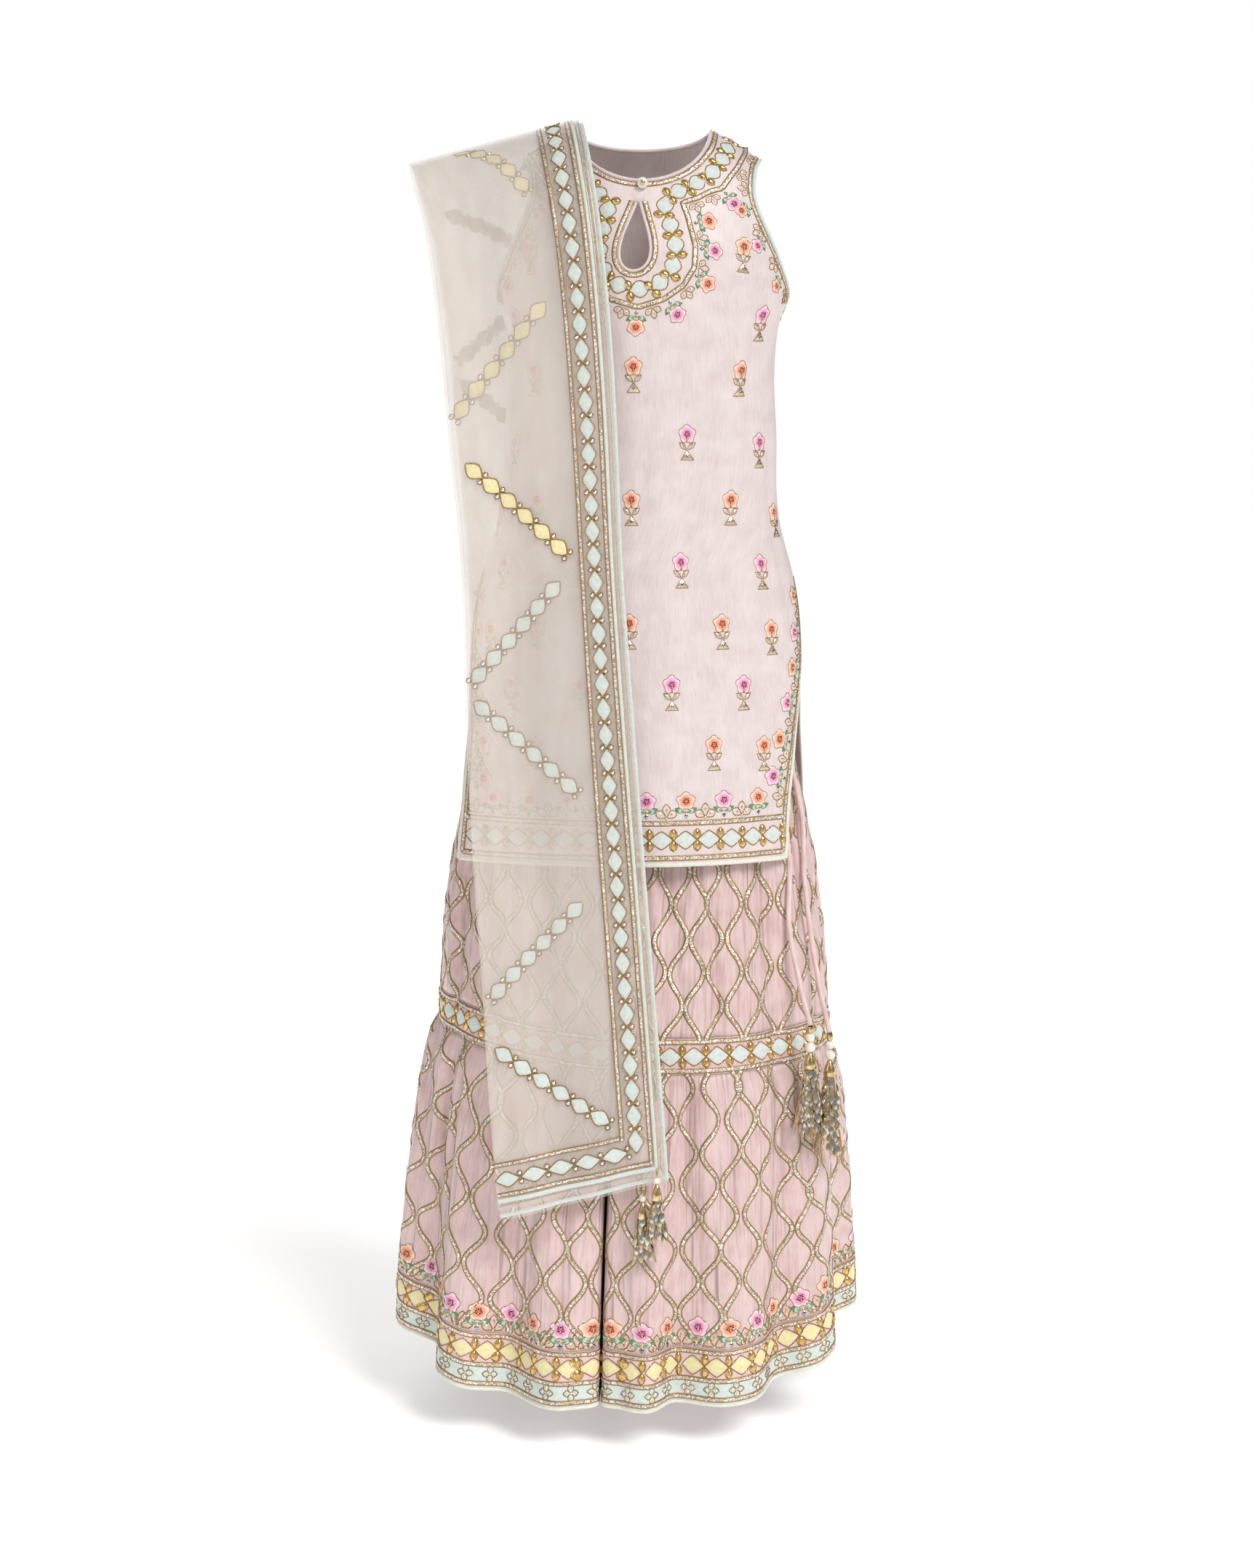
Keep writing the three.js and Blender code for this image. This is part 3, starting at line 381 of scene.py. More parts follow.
def side_angle(z, face):
    """A panel's side edge: on the side seam, then opening along the slit."""
    open_by = np.radians(np.minimum(tunic_side[face](np.sqrt(SEAM_TOP - z)), 90))
    return np.where(z >= SLIT_TOP, np.pi / 2, open_by)


tunic = {face: Cloth(lambda a, z, f=face: tunic_at(a, z, f), (0.012, 1.2), -face) for face in (FRONT, BACK)}
print("tunic half width at the hem, mm:", round(float(tunic_half(28.5)), 1))

# %% [markdown]
# ## The neck, armholes and keyhole
# A cutter draws these on the cloth and cuts them out. On a mesh, the points that lie within half a step
# of the drawn line are moved onto it along the cloth, and the faces inside it are left out. So the cut
# edge is smooth, and the binding that is sewn over it covers the rest.

# %% Cut lines
NECK_HALF, NECK_FRONT, NECK_BACK, NECK_MIDDLE = 76, 62, 20, 10
ARM_Z, ARM_HALF, ARM_DEEP, ARM_INSIDE = -101.5, 75.5, 62, 60
KEY_TOP, KEY_LOW, KEY_WIDE, KEY_LEAN = -68, -153, 17, 6
KEY_MIDDLE, KEY_TALL = (KEY_TOP + KEY_LOW) / 2, (KEY_TOP - KEY_LOW) / 2
# the greatest value of a turn's sine times the square of its half's sine
DROP_PEAK = 0.6495
FAR_AWAY = 99.0


def neck_cut(p, face):
    """Millimetres outside the neck's half ellipse, about."""
    deep = NECK_FRONT if face == FRONT else NECK_BACK
    far = np.hypot((p[..., 0] - NECK_MIDDLE) / NECK_HALF, (SEAM_TOP - p[..., 2]) / deep)
    return (far - 1) * deep * 0.8


def arm_cut(p, face):
    """Millimetres outside the armhole's ellipse, seen from the side."""
    far = np.hypot(p[..., 1] / ARM_DEEP, (p[..., 2] - ARM_Z) / ARM_HALF)
    return np.where(np.abs(p[..., 0] - NECK_MIDDLE) > ARM_INSIDE, (far - 1) * 65, FAR_AWAY)


def drop_half(turn):
    """The keyhole's half width at a turn from its top: the turn's sine times the square of its
    half's sine."""
    return KEY_WIDE / DROP_PEAK * np.sin(turn) * np.sin(turn / 2) ** 2


def key_cut(p, face):
    """Millimetres outside the keyhole's drop, on the front only."""
    if face == BACK:
        return np.full(p.shape[:-1], FAR_AWAY)
    z = p[..., 2]
    turn = np.arccos(clamp((z - KEY_MIDDLE) / KEY_TALL, -1, 1))
    lean = KEY_LEAN * clamp((z - KEY_LOW) / (KEY_TOP - KEY_LOW))
    beyond = np.maximum(z - KEY_TOP, KEY_LOW - z)
    inside = np.abs(p[..., 0] - lean) - drop_half(turn)
    return np.where(beyond > 0, np.maximum(beyond, inside), inside)


def cut_panel(face, angle, z, cell):
    """Moves near points onto the cut lines and says which points are cut away."""
    gone = np.zeros(angle.shape, bool)
    fixed = np.zeros(angle.shape, bool)
    cloth = tunic[face]
    for cut in (neck_cut, arm_cut, key_cut):
        value = cut(cloth.at(angle, z), face)
        near = (np.abs(value) < 0.75 * cell) & ~fixed
        a, b = angle[near], z[near]
        for _ in range(3):
            f = cut(cloth.at(a, b), face)
            fa = (cut(cloth.at(a + 0.004, b), face) - f) / 0.004
            fb = (cut(cloth.at(a, b + 0.4), face) - f) / 0.4
            ta, tb = cloth.tangents(a, b)
            la, lb = np.linalg.norm(ta, axis=-1), np.linalg.norm(tb, axis=-1)
            steep = (fa / la) ** 2 + (fb / lb) ** 2 + 1e-6
            a = a - clamp(f * fa / la**2 / steep, -0.03, 0.03)
            b = np.minimum(b - clamp(f * fb / lb**2 / steep, -cell, cell), SEAM_TOP)
        angle[near], z[near] = a, b
        fixed |= near
        gone |= (value < 0) & ~near
    return gone, fixed


# %% [markdown]
# ## Finishes
# Each finish is one Principled shader with its colour, roughness and relief worked out by nodes. A
# colour is written as it would be on a screen, in hexadecimal, and one function turns it to the linear
# values that light is added up in. One small function adds a node, with its settings and links.

# %% Colour and nodes
def linear(hex_colour, alpha=1.0):
    """Each channel: a twelfth part or so below the knee, and a power of 2.4 above it."""
    parts = np.array([int(hex_colour[i : i + 2], 16) / 255 for i in (1, 3, 5)])
    out = np.where(parts <= 0.04045, parts / 12.92, ((parts + 0.055) / 1.055) ** 2.4)
    return (*out.tolist(), alpha)


def connect(node, links):
    """Fills a node's inputs, by name or number, with a value or with another node's output."""
    for key, value in links.items():
        if isinstance(value, bpy.types.NodeSocket):
            node.id_data.links.new(value, node.inputs[key])
        else:
            node.inputs[key].default_value = value


def add_node(tree, kind, links=None, stops=(), out=0, **settings):
    """Adds a node and gives its output of that name or number: settings are its own options, links
    fill its inputs, and stops are a colour ramp's places and hex colours."""
    node = tree.nodes.new("ShaderNode" + kind)
    for key, value in settings.items():
        setattr(node, key, value)
    connect(node, links or {})
    if stops:
        while len(node.color_ramp.elements) < len(stops):
            node.color_ramp.elements.new(0.5)
        for element, (place, colour) in zip(node.color_ramp.elements, stops):
            element.position, element.color = place, linear(colour)
    return node.outputs[out]


def new_finish(name, **shader):
    """A material, its Principled shader with the values that are the same all over it, and the
    function that adds nodes to its tree."""
    material = bpy.data.materials.new(name)
    material.use_nodes = True
    body = material.node_tree.nodes["Principled BSDF"]
    connect(body, {key.replace("_", " "): value for key, value in shader.items()})
    return material, body, partial(add_node, material.node_tree)


def per_metre(size):
    """A noise texture's scale for grain of so many millimetres."""
    return round(1000 / size)


def bands(spacing):
    """A wave texture's scale for stripes so many millimetres apart: at scale 1 they repeat every
    314 mm."""
    return round(314.1 / spacing)


# %% [markdown]
# ## Silk, dyed and woven
# The tunic and trousers are raw silk: fine threads, a few thicker ones that run across, and a soft sheen
# along the creases. Threads 0.3 mm apart would be too fine for the picture, so the weave's relief is
# drawn 0.9 mm apart and faint, and the thick threads are drawn as long noise, a few millimetres wide,
# whose streaks in the colour are also painted shade and light of fine vertical creases.

# %% Silk finish
def silk(name, pale, middle, deep, roughness=0.42, pucker=0.0):
    """Long noise 2.4 mm wide and 22 mm long shades the colour, partly as slubs and partly as painted
    shade of fine vertical creases, and with the weave it gives the relief.
    Where the silk is gathered, soft puckers 18 mm wide and 200 mm long run down it as well."""
    material, body, add = new_finish(name, Roughness=roughness, Sheen_Weight=0.25, Sheen_Roughness=0.4)
    uv = add("TexCoord", out="UV")
    slub_and_crease_shade_map = add("Mapping", {"Vector": uv, "Scale": (per_metre(2.38), per_metre(21.7), 1)})
    slub_and_crease_shade = add("TexNoise", {"Vector": slub_and_crease_shade_map, "Scale": 1.0, "Detail": 3.0})
    soft = add("TexNoise", {"Vector": uv, "Scale": per_metre(25), "Detail": 2.0})
    mixed = add("Math", {0: slub_and_crease_shade, 1: soft}, operation="ADD")
    half = add("Math", {0: mixed, 1: 0.5}, operation="MULTIPLY")
    # painted shade: the long noise lightens and darkens the colour in vertical streaks, partly slubs and
    # partly the shade of fine creases
    colour = add("ValToRGB", {"Fac": half}, [(0.36, deep), (0.5, middle), (0.64, pale)])
    weft, warp = [
        add("TexWave", {"Vector": uv, "Scale": bands(0.9)}, bands_direction=way, out="Fac")
        for way in ("Y", "X")
    ]
    cross = add("Math", {0: weft, 1: warp}, operation="MULTIPLY")
    woven = add("Math", {0: slub_and_crease_shade, 1: 3.0, 2: cross}, operation="MULTIPLY_ADD")
    relief = {"Height": woven, "Strength": 0.22, "Distance": 0.5 * MM}
    if pucker:
        long = (per_metre(18.5), per_metre(200), 1)
        gather_map = add("Mapping", {"Vector": uv, "Scale": long})
        gathers = add("TexNoise", {"Vector": gather_map, "Scale": 1.0, "Detail": 2.0, "Distortion": 0.3})
        relief["Normal"] = add("Bump", {"Height": gathers, "Strength": pucker, "Distance": 13 * MM})
    connect(body, {"Base Color": colour, "Normal": add("Bump", relief)})
    return material


blush_silk = silk("blush raw silk", "#E6D9D6", "#E1D2CF", "#DAC9C6", 0.34)
rose_silk = silk("rose raw silk", "#E5CBC8", "#DEC1BE", "#D4B3B0", 0.29, pucker=1.0)
lining_silk = silk("plain rose casing silk", "#E9CBC8", "#E1BFBC", "#D4AFAC", 0.5)
print("finishes so far:", len(bpy.data.materials))

# %% [markdown]
# ## Sheets of the tunic
# A panel is a grid of the surface from the shoulder seam to the hem, between its side edges. The cut
# edges are drawn as above, and a modifier gives the cloth its thickness.

# %% Tunic panels
CLOTH_THICK, CELL = 1.2, 4.2


def thicken(piece, thick=CLOTH_THICK):
    wall = piece.modifiers.new("thickness", "SOLIDIFY")
    wall.thickness = thick * MM
    wall.offset = 0.0
    return piece


def arc_lengths(points, axis):
    """Distance along one side of a grid of points, from its first row or column."""
    step = np.linalg.norm(np.diff(points, axis=axis), axis=-1)
    total = np.cumsum(step, axis=axis)
    return np.concatenate([np.zeros_like(np.take(total, [0], axis=axis)), total], axis=axis)


def area_of(points, quads):
    """Square metres of four-cornered faces: half the cross product of each one's diagonals."""
    p = points.reshape(-1, 3)[quads]
    return 0.5e-6 * float(np.linalg.norm(np.cross(p[:, 2] - p[:, 0], p[:, 3] - p[:, 1]), axis=1).sum())


def inside_cut(points, quads, face):
    middle = points[quads].mean(1)
    return np.min([cut(middle, face) for cut in (neck_cut, arm_cut, key_cut)], 0) < 0


def tunic_panel(face, name):
    """Rows in steps of the root of the drop near the seam, then even ones, each from side to side.
    Faces inside the cuts are left out, and points that no face uses."""
    top = SEAM_TOP - np.linspace(0, 5.4, 18) ** 2
    rows = np.r_[top, np.linspace(-25.5, TUNIC_HEM + 1, 134)]
    across = np.linspace(-1, 1, 97)
    angle = side_angle(rows, face)[:, None] * across[None, :]
    z = np.repeat(rows[:, None], len(across), 1)
    uv = pairs(arc_lengths(tunic_at(angle, z, face), 1) * MM, z * MM).reshape(-1, 2)
    gone, fixed = cut_panel(face, angle, z, CELL)
    points = tunic_at(angle, z, face).reshape(-1, 3)
    quads = grid_faces(len(rows), len(across), flip=face == BACK)
    drop = gone.ravel()[quads].any(1) | (fixed.ravel()[quads].all(1) & inside_cut(points, quads, face))
    used, quads = np.unique(quads[~drop], return_inverse=True)
    quads = quads.reshape(-1, 4)
    piece = make_piece(name, points[used], [quads], uv[used])
    print(name, "area", round(area_of(points[used], quads), 3), "m2, faces", len(quads))
    return thicken(piece)


def dress(piece, finish, slot, *nodes):
    """Gives a piece its finish, lets it ride on the suit, and stands it for its solids. Its slot is not
    used.
    """
    piece.data.materials.append(finish)
    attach(piece, "root")
    if nodes:
        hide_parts(*nodes)
    return piece


for face, word in FACES:
    panel = tunic_panel(face, f"tunic_{word}_cloth")
    dress(panel, blush_silk, "tunic_silk", f"tunic_{word}")

# %% [markdown]
# ## The trousers' form
# Each leg is a wide tube, flat on its inner side, and the two tiers are gathered onto bands. Large folds
# stand out round the outside and grow towards the hem. One leg's outline is worked out level by level,
# in equal steps round it, and kept as a table, so that a point at any share and level is read quickly.

# %% Trouser sizes
WAIST_TOP, WAIST_LOW = -394, -424
TIER_TOP, TIER_LOW = -992, -1032
HEM_TOP, HEM_LOW = -1338, -1402
SEAT_TOP, SEAT_LOW = -590, -716
LEG_SLANT = 0.03
# level: half width, front depth, back depth, centre, and where the legs part
TROUSERS = [
    (-394, 143, 90, 72, 7, 7),
    (-424, 147, 93, 76, 6, 6),
    (-500, 165, 101, 92, 4, 4),
    (-581, 176, 106, 106, 3, 3),
    (-640, 178, 108, 110, 1, 0),
    (-700, 186, 111, 113, 0, -4),
    (-770, 200, 114, 115, 0, -8),
    (-808, 207, 118, 118, 0, -10),
    (-872, 215, 132, 126, 0, -13),
    (-930, 221, 150, 136, 1, -15),
    (-1012, 226, 174, 152, 1, -18),
    (-1032, 227, 177, 155, 1, -19),
    (-1060, 238, 186, 163, 0, -20),
    (-1110, 245, 193, 170, -2, -22),
    (-1200, 251, 202, 182, -5, -26),
    (-1300, 255, 211, 193, -8, -29),
    (-1402, 257, 220, 202, -10, -31),
]
leg_half, leg_front, leg_back, leg_centre, leg_part = [through(TROUSERS, k) for k in range(1, 6)]
LEFT, RIGHT = 1, -1
SIDES = ((LEFT, "left"), (RIGHT, "right"))
# degrees of the valleys between the large folds, from the front round to the back
VALLEYS = {
    LEFT: [-6, 13, 43, 70, 97, 120, 143, 165, 190],
    RIGHT: [-6, 32, 59, 84, 107, 128, 148, 168, 190],
}
print("each leg has", len(VALLEYS[LEFT]) - 1, "large folds")

# %% Gathers and creases of the trousers
uneven = np.random.default_rng(11)


def gather_row(count, first, last, top, low, width, depth):
    """A row of gathers with uneven places, lengths, widths and depths, as (place, lean, top, low,
    width, depth) in degrees and millimetres."""
    places = np.linspace(first, last, count) + uneven.uniform(-1.2, 1.2, count)
    ends = low + uneven.uniform(0, 1, count) ** 1.6 * (top - low) * 0.72
    return [
        (p, uneven.uniform(-2.2, 2.2), top, e, width * uneven.uniform(0.7, 1.25), depth * d)
        for p, e, d in zip(places, ends, uneven.uniform(0.45, 1.15, count))
    ]


LEG_CREASES = {}
for side in (LEFT, RIGHT):
    upper = gather_row(30, -4, 186, -440, -985, 1.8, -7.4)
    upper += gather_row(40, -2, 184, -760, -960, 1.0, -2.6)
    upper += gather_row(30, 0, 182, -905, -1003, 1.1, -2.0)
    lower = gather_row(42, -5, 187, -1022, -1250, 1.9, -7.4)
    lower += gather_row(22, -3, 185, -1026, -1430, 3.0, -5.6)
    lower += gather_row(16, 0, 180, -1150, -1460, 2.6, 2.4)
    through_band = gather_row(9, 24, 178, -820, -1190, 2.1, -11.0)
    LEG_CREASES[side] = (upper + through_band, lower + through_band)
print("gathers on a leg:", sum(len(rows) for rows in LEG_CREASES[LEFT]))

# %% A leg's outline, level by level
OUTLINE, ARC_POINTS, SIDE_POINTS = 640, 601, 120


def lobe(side, degrees):
    """The large folds: one less twice the cube of the cosine across each fold, so that the folds are
    round and the valleys narrow."""
    v = np.array(VALLEYS[side], float)
    i = np.clip(np.searchsorted(v, degrees, side="right") - 1, 0, len(v) - 2)
    share = clamp((degrees - v[i]) / (v[i + 1] - v[i]))
    return 1 - 2 * np.abs(np.cos(np.pi * share)) ** 3, share


def fold_size(level):
    """How far the large folds stand out: a little above the band, and more and more below it."""
    upper = 3.2 * smooth((-700 - level) / 160) * (1 - 0.75 * smooth((-880 - level) / 110))
    return upper + 15 * clamp((TIER_LOW + 6 - level) / 376) ** 0.8


def gather_size(level):
    """How deep the gathers just below the band are."""
    below = TIER_LOW - level
    return 2.2 * smooth(below / 24) * (1 - smooth((below - 60) / 170))


def rise(level, across):
    """How far the band and the hem are above their level, towards the sides."""
    band = 17 * across**2 - 14 * across
    hem = 62 * np.abs(across) ** 5
    if level > -1012:
        return band * smooth((-808 - level) / 200)
    return band + (hem - band) * clamp((-1012 - level) / 390)


def leg_outline(side, level):
    """The outline runs from the middle of the inner side to the front, round the outside and back:
    a straight side, a squared arc, and a straight side, rounded at the corners by a moving mean. The
    folds are then added along its normals. Above the seat the inner side is left out."""
    a, deep_f, deep_b, cx = leg_half(level), leg_front(level), leg_back(level), leg_centre(level)
    apart = 1.1 + 1.3 * smooth((SEAT_LOW + 40 - level) / 400)
    inner = leg_part(level) + side * (SEAM_GAP if level > SEAT_TOP else apart)
    first = np.arcsin(clamp(side * (inner - LEG_SLANT * deep_f - cx) / a, -0.9, 0.9))
    last = np.arcsin(clamp(side * (inner + LEG_SLANT * deep_b - cx) / a, -0.9, 0.9))
    turn = np.linspace(first, np.pi - last, ARC_POINTS)
    c = np.cos(turn)
    y = np.where(c >= 0, -deep_f * np.abs(c) ** ROUND, deep_b * np.abs(c) ** ROUND)
    x = cx + side * a * np.sin(turn)
    front, rear = y[0], y[-1]
    y_in = front * np.arange(SIDE_POINTS) / SIDE_POINTS
    y_out = rear * (1 - np.arange(1, SIDE_POINTS) / SIDE_POINTS)
    xs = np.r_[inner + LEG_SLANT * y_in, x, inner + LEG_SLANT * y_out]
    ys = np.r_[y_in, y, y_out]
    gone = np.r_[0, np.cumsum(np.hypot(np.diff(np.r_[xs, xs[0]]), np.diff(np.r_[ys, ys[0]])))]
    whole = gone[-1]
    want = whole * np.arange(OUTLINE) / OUTLINE
    x = np.interp(want, gone, np.r_[xs, xs[0]])
    y = np.interp(want, gone, np.r_[ys, ys[0]])
    width = int(round(9 * smooth((SEAT_LOW + 60 - level) / 160)))
    if width:
        x = np.mean([np.roll(x, d) for d in range(-width, width + 1)], 0)
        y = np.mean([np.roll(y, d) for d in range(-width, width + 1)], 0)
    tx, ty = np.roll(x, -1) - np.roll(x, 1), np.roll(y, -1) - np.roll(y, 1)
    size = np.maximum(np.hypot(tx, ty), 1e-6)
    nx, ny = side * ty / size, -side * tx / size
    fade = smooth((side * (x - inner - LEG_SLANT * y) - 4) / 46)
    degrees = np.degrees(np.arctan2(side * (x - cx) / a, -y / np.where(y < 0, deep_f, deep_b)))
    degrees = np.where(degrees < -90, degrees + 360, degrees)
    wave, share = lobe(side, degrees)
    out = fold_size(level) * wave - gather_size(level) * np.cos(4 * np.pi * share)
    creases = LEG_CREASES[side][0 if level > TIER_LOW else 1]
    out = fade * (out + soft_creases(np.full(OUTLINE, level), degrees, creases))
    z = level + rise(level, clamp((x - cx) / a, -1, 1))
    points = np.stack([x + nx * out, y + ny * out, z], -1)
    if level >= SEAT_TOP:
        kept = 1.0
    elif level <= SEAT_LOW:
        kept = 0.0
    else:
        kept = 1 - np.sqrt(1 - ((level - SEAT_LOW) / (SEAT_TOP - SEAT_LOW)) ** 2)
    return points, abs(front) / whole * kept, 1 - abs(rear) / whole * kept


def leg_table(side):
    """Rows of points at every two millimetres of level, each row in equal shares of its range."""
    levels = np.linspace(WAIST_TOP, HEM_LOW, 505)
    rows = []
    for level in levels:
        points, start, end = leg_outline(side, level)
        where = (start + (end - start) * np.arange(OUTLINE + 1) / OUTLINE) * OUTLINE
        i = np.floor(where).astype(int)
        t = (where - i)[:, None]
        rows.append(points[i % OUTLINE] * (1 - t) + points[(i + 1) % OUTLINE] * t)
    return levels, np.array(rows)


leg_rows = {side: leg_table(side) for side in (LEFT, RIGHT)}


def leg_at(share, level, side):
    """Read between the table's rows and columns. Below the seat the share goes round and round."""
    share, level = np.broadcast_arrays(np.asarray(share, float), np.asarray(level, float))
    levels, rows = leg_rows[side]
    share = np.where(level > SEAT_LOW + 4, clamp(share), share - np.floor(share))
    s = share * OUTLINE
    r = clamp((levels[0] - level) / (levels[0] - levels[-1]) * (len(levels) - 1), 0, len(levels) - 1)
    i = np.minimum(np.floor(r).astype(int), len(levels) - 2)
    j = np.minimum(np.floor(s).astype(int), OUTLINE - 1)
    u, v = (r - i)[..., None], (s - j)[..., None]
    low = rows[i, j] * (1 - v) + rows[i, j + 1] * v
    high = rows[i + 1, j] * (1 - v) + rows[i + 1, j + 1] * v
    point = low * (1 - u) + high * u
    over = np.minimum(level - levels[-1], 0)[..., None]
    return point + over * np.array([0, 0, 1.0])


leg = {side: Cloth(lambda s, z, k=side: leg_at(s, z, k), (0.0016, 2.2), side) for side in (LEFT, RIGHT)}


def girth(side, level):
    """Length round a leg at a level, in millimetres."""
    levels, rows = leg_rows[side]
    i = int(round((levels[0] - level) / (levels[0] - levels[-1]) * (len(levels) - 1)))
    return float(np.linalg.norm(np.diff(rows[i], axis=0), axis=1).sum())


print("girth of the left leg's hem, mm:", round(girth(LEFT, HEM_LOW)))

# %% [markdown]
# ## Sheets of the trousers
# Every tier, band and border is its own strip of that form, so each is its own grid between its own two
# levels. A closed ring wraps its columns round. A maker cuts a tier about a third wider than the band
# that it is drawn onto.

# %% Trouser pieces
def leg_piece(side, name, levels, cols, closed=True):
    share = np.arange(cols) / cols if closed else np.linspace(0.0004, 0.9996, cols)
    s, z = np.meshgrid(share, levels)
    points = leg_at(s, z, side)
    quads = grid_faces(len(levels), cols, closed, flip=side == RIGHT)
    around = girth(side, levels[-1]) * MM
    uv = pairs(s * around, z * MM).reshape(-1, 2)
    piece = make_piece(name, points.reshape(-1, 3), [quads], uv, period=around if closed else 0.0)
    print(name, "area", round(area_of(points, quads), 3), "m2, faces", len(quads))
    return piece


def waist_at(turn, level):
    """The casing: the trousers' section, with the small gathers that its string draws up."""
    c = np.cos(turn)
    ripple = 1 + 0.006 * np.sin(47 * turn) + 0.004 * np.sin(31 * turn + 1)
    y = np.where(c >= 0, -leg_front(level), leg_back(level)) * np.abs(c) ** ROUND * ripple
    x = leg_centre(level) + leg_half(level) * np.sin(turn) * ripple
    return np.stack([x, y, np.broadcast_to(level, x.shape)], -1)


WAIST_COLS, WAIST_ROWS, WAIST_ROUND = 240, 9, 0.741
waist_levels = np.linspace(WAIST_TOP, WAIST_LOW + 0.4, WAIST_ROWS)
turn, level = np.meshgrid(np.linspace(0, 2 * np.pi, WAIST_COLS + 1)[:-1], waist_levels)
waist_points = waist_at(turn, level).reshape(-1, 3)
waist_uv = pairs(turn * 0.118, level * MM).reshape(-1, 2)
waist_faces = [grid_faces(WAIST_ROWS, WAIST_COLS, True)]
casing = make_piece("waistband_casing", waist_points, waist_faces, waist_uv, period=WAIST_ROUND)
dress(thicken(casing, 2.0), lining_silk, "trouser_silk", "waistband")

for side, word in SIDES:
    upper_levels = np.r_[np.linspace(WAIST_LOW, -760, 16), np.linspace(-767, TIER_TOP + 0.5, 36)]
    upper = leg_piece(side, f"upper_tier_{word}_cloth", upper_levels, 350, closed=False)
    dress(thicken(upper), rose_silk, "trouser_silk", f"upper_tier_{word}")
    band = leg_piece(side, f"tier_band_{word}_cloth", np.linspace(TIER_TOP, TIER_LOW, 8), 360)
    dress(thicken(band, 1.4), rose_silk, "trouser_silk", f"tier_band_{word}")
    lower_levels = np.linspace(TIER_LOW - 0.5, HEM_TOP + 0.4, 46)
    lower = leg_piece(side, f"lower_tier_{word}_cloth", lower_levels, 370)
    dress(thicken(lower), rose_silk, "trouser_silk", f"lower_tier_{word}")

# %% [markdown]
# ## The shawl's course
# The net is folded lengthways in four layers and laid over the shoulder, so it is one long folded strip.
# Its course from the front hem over the shoulder to the back hem is given by a table of its two edges,
# and each layer lies a couple of millimetres from the next, along the strip's own normal.

# %% Shawl surface
NET_PITCH, SHAWL_WIDE, LAST_STEP = 1.9, 198, 22
# a row a step: left edge x y z, right edge x y z
COURSE = [
    (-147, -216, -1188, 36, -223, -1140),
    (-158, -205, -1045, 28, -212, -1030),
    (-166, -182, -920, 19, -189, -915),
    (-176, -149, -800, 10, -156, -800),
    (-184, -124, -640, -2, -140, -640),
    (-188, -113, -475, -14, -127, -475),
    (-201, -104, -330, -20, -126, -330),
    (-211, -94, -215, -27, -128, -212),
    (-224, -74, -122, -38, -107, -105),
    (-239, -43, -66, -49, -72, -33),
    (-247, -18, -41, -56, -34, 1.4),
    (-249, 3, -35, -59, 2, 13.9),
    (-247, 24, -41, -57, 35, 2.6),
    (-240, 50, -66, -52, 71, -33),
    (-228, 78, -122, -42, 93, -105),
    (-216, 92, -215, -32, 107, -212),
    (-206, 96, -330, -26, 106, -330),
    (-196, 108, -475, -20, 116, -475),
    (-191, 124, -640, -10, 136, -640),
    (-186, 136, -800, -2, 147, -800),
    (-180, 160, -920, 4, 172, -920),
    (-174, 184, -1045, 10, 194, -1040),
    (-168, 202, -1168, 16, 208, -1150),
]
course = [through([(k, *row) for k, row in enumerate(COURSE)], column) for column in range(1, 7)]
# millimetres across, lean, first step, last step, width, depth
SHAWL_CREASES = [
    (112, 50, 10.6, 7.2, 3.0, 2.2),
    (84, 26, 10.4, 6.9, 2.6, 1.8),
    (62, -14, 9.6, 7.3, 2.6, 1.9),
    (92, -24, 8.4, 6.2, 2.4, 1.6),
    (48, -12, 7.4, 5.6, 2.8, 1.8),
    (30, 8, 6.9, 4.6, 3.0, 1.5),
    (74, -10, 5.9, 3.8, 3.4, 1.3),
    (20, 4, 4.4, 2.2, 3.0, 1.6),
    (98, -16, 3.4, 1.2, 3.2, 1.6),
    (52, 12, 2.8, 0.6, 3.0, 1.5),
    (26, 4, 2.2, 0.1, 2.6, 1.4),
    (108, -20, 11.8, 14.6, 3.0, 2.0),
    (70, 12, 12.0, 15.2, 2.8, 1.8),
    (40, 8, 13.0, 16.4, 3.0, 1.6),
    (90, -14, 15.0, 18.2, 3.2, 1.5),
    (56, 10, 17.0, 20.4, 3.0, 1.4),
    (96, -12, 18.8, 21.6, 3.0, 1.5),
]


def shawl_base(step, share):
    lx, ly, lz, rx, ry, rz = [f(step) for f in course]
    parts = [lx + (rx - lx) * share, ly + (ry - ly) * share, lz + (rz - lz) * share]
    return np.stack(parts, -1)


def shawl_at(across, step, height):
    """The strip's own line across at each step, moved along its normal by the layer's height and by
    soft waves, calm at the shoulder: 2.5 waves across, turning slowly with the step."""
    across, step = np.broadcast_arrays(np.asarray(across, float), np.asarray(step, float))
    share = across / SHAWL_WIDE
    a = shawl_base(step, share + 0.02) - shawl_base(step, share - 0.02)
    lower = clamp(step - 0.03, 0, 21.94)
    n = np.cross(a, shawl_base(lower + 0.06, share) - shawl_base(lower, share))
    n = n / np.linalg.norm(n, axis=-1, keepdims=True)
    calm = smooth(np.abs(step - 11) / 4)
    wave = 2.2 * calm * (1 - np.cos(5 * np.pi * share + 0.25 * step))
    wave = wave + soft_creases(step, across, SHAWL_CREASES)
    return shawl_base(step, share) + n * (np.asarray(height) + wave)[..., None]


def layer_height(k):
    """Layer 0 is the outer one, and layer 3 lies on the tunic."""
    return (3 - k) * NET_PITCH + 0.5


def shawl_layer(k, lift=0.0):
    return Cloth(lambda a, s: shawl_at(a, s, layer_height(k) + lift), (3.0, 0.03), 1)


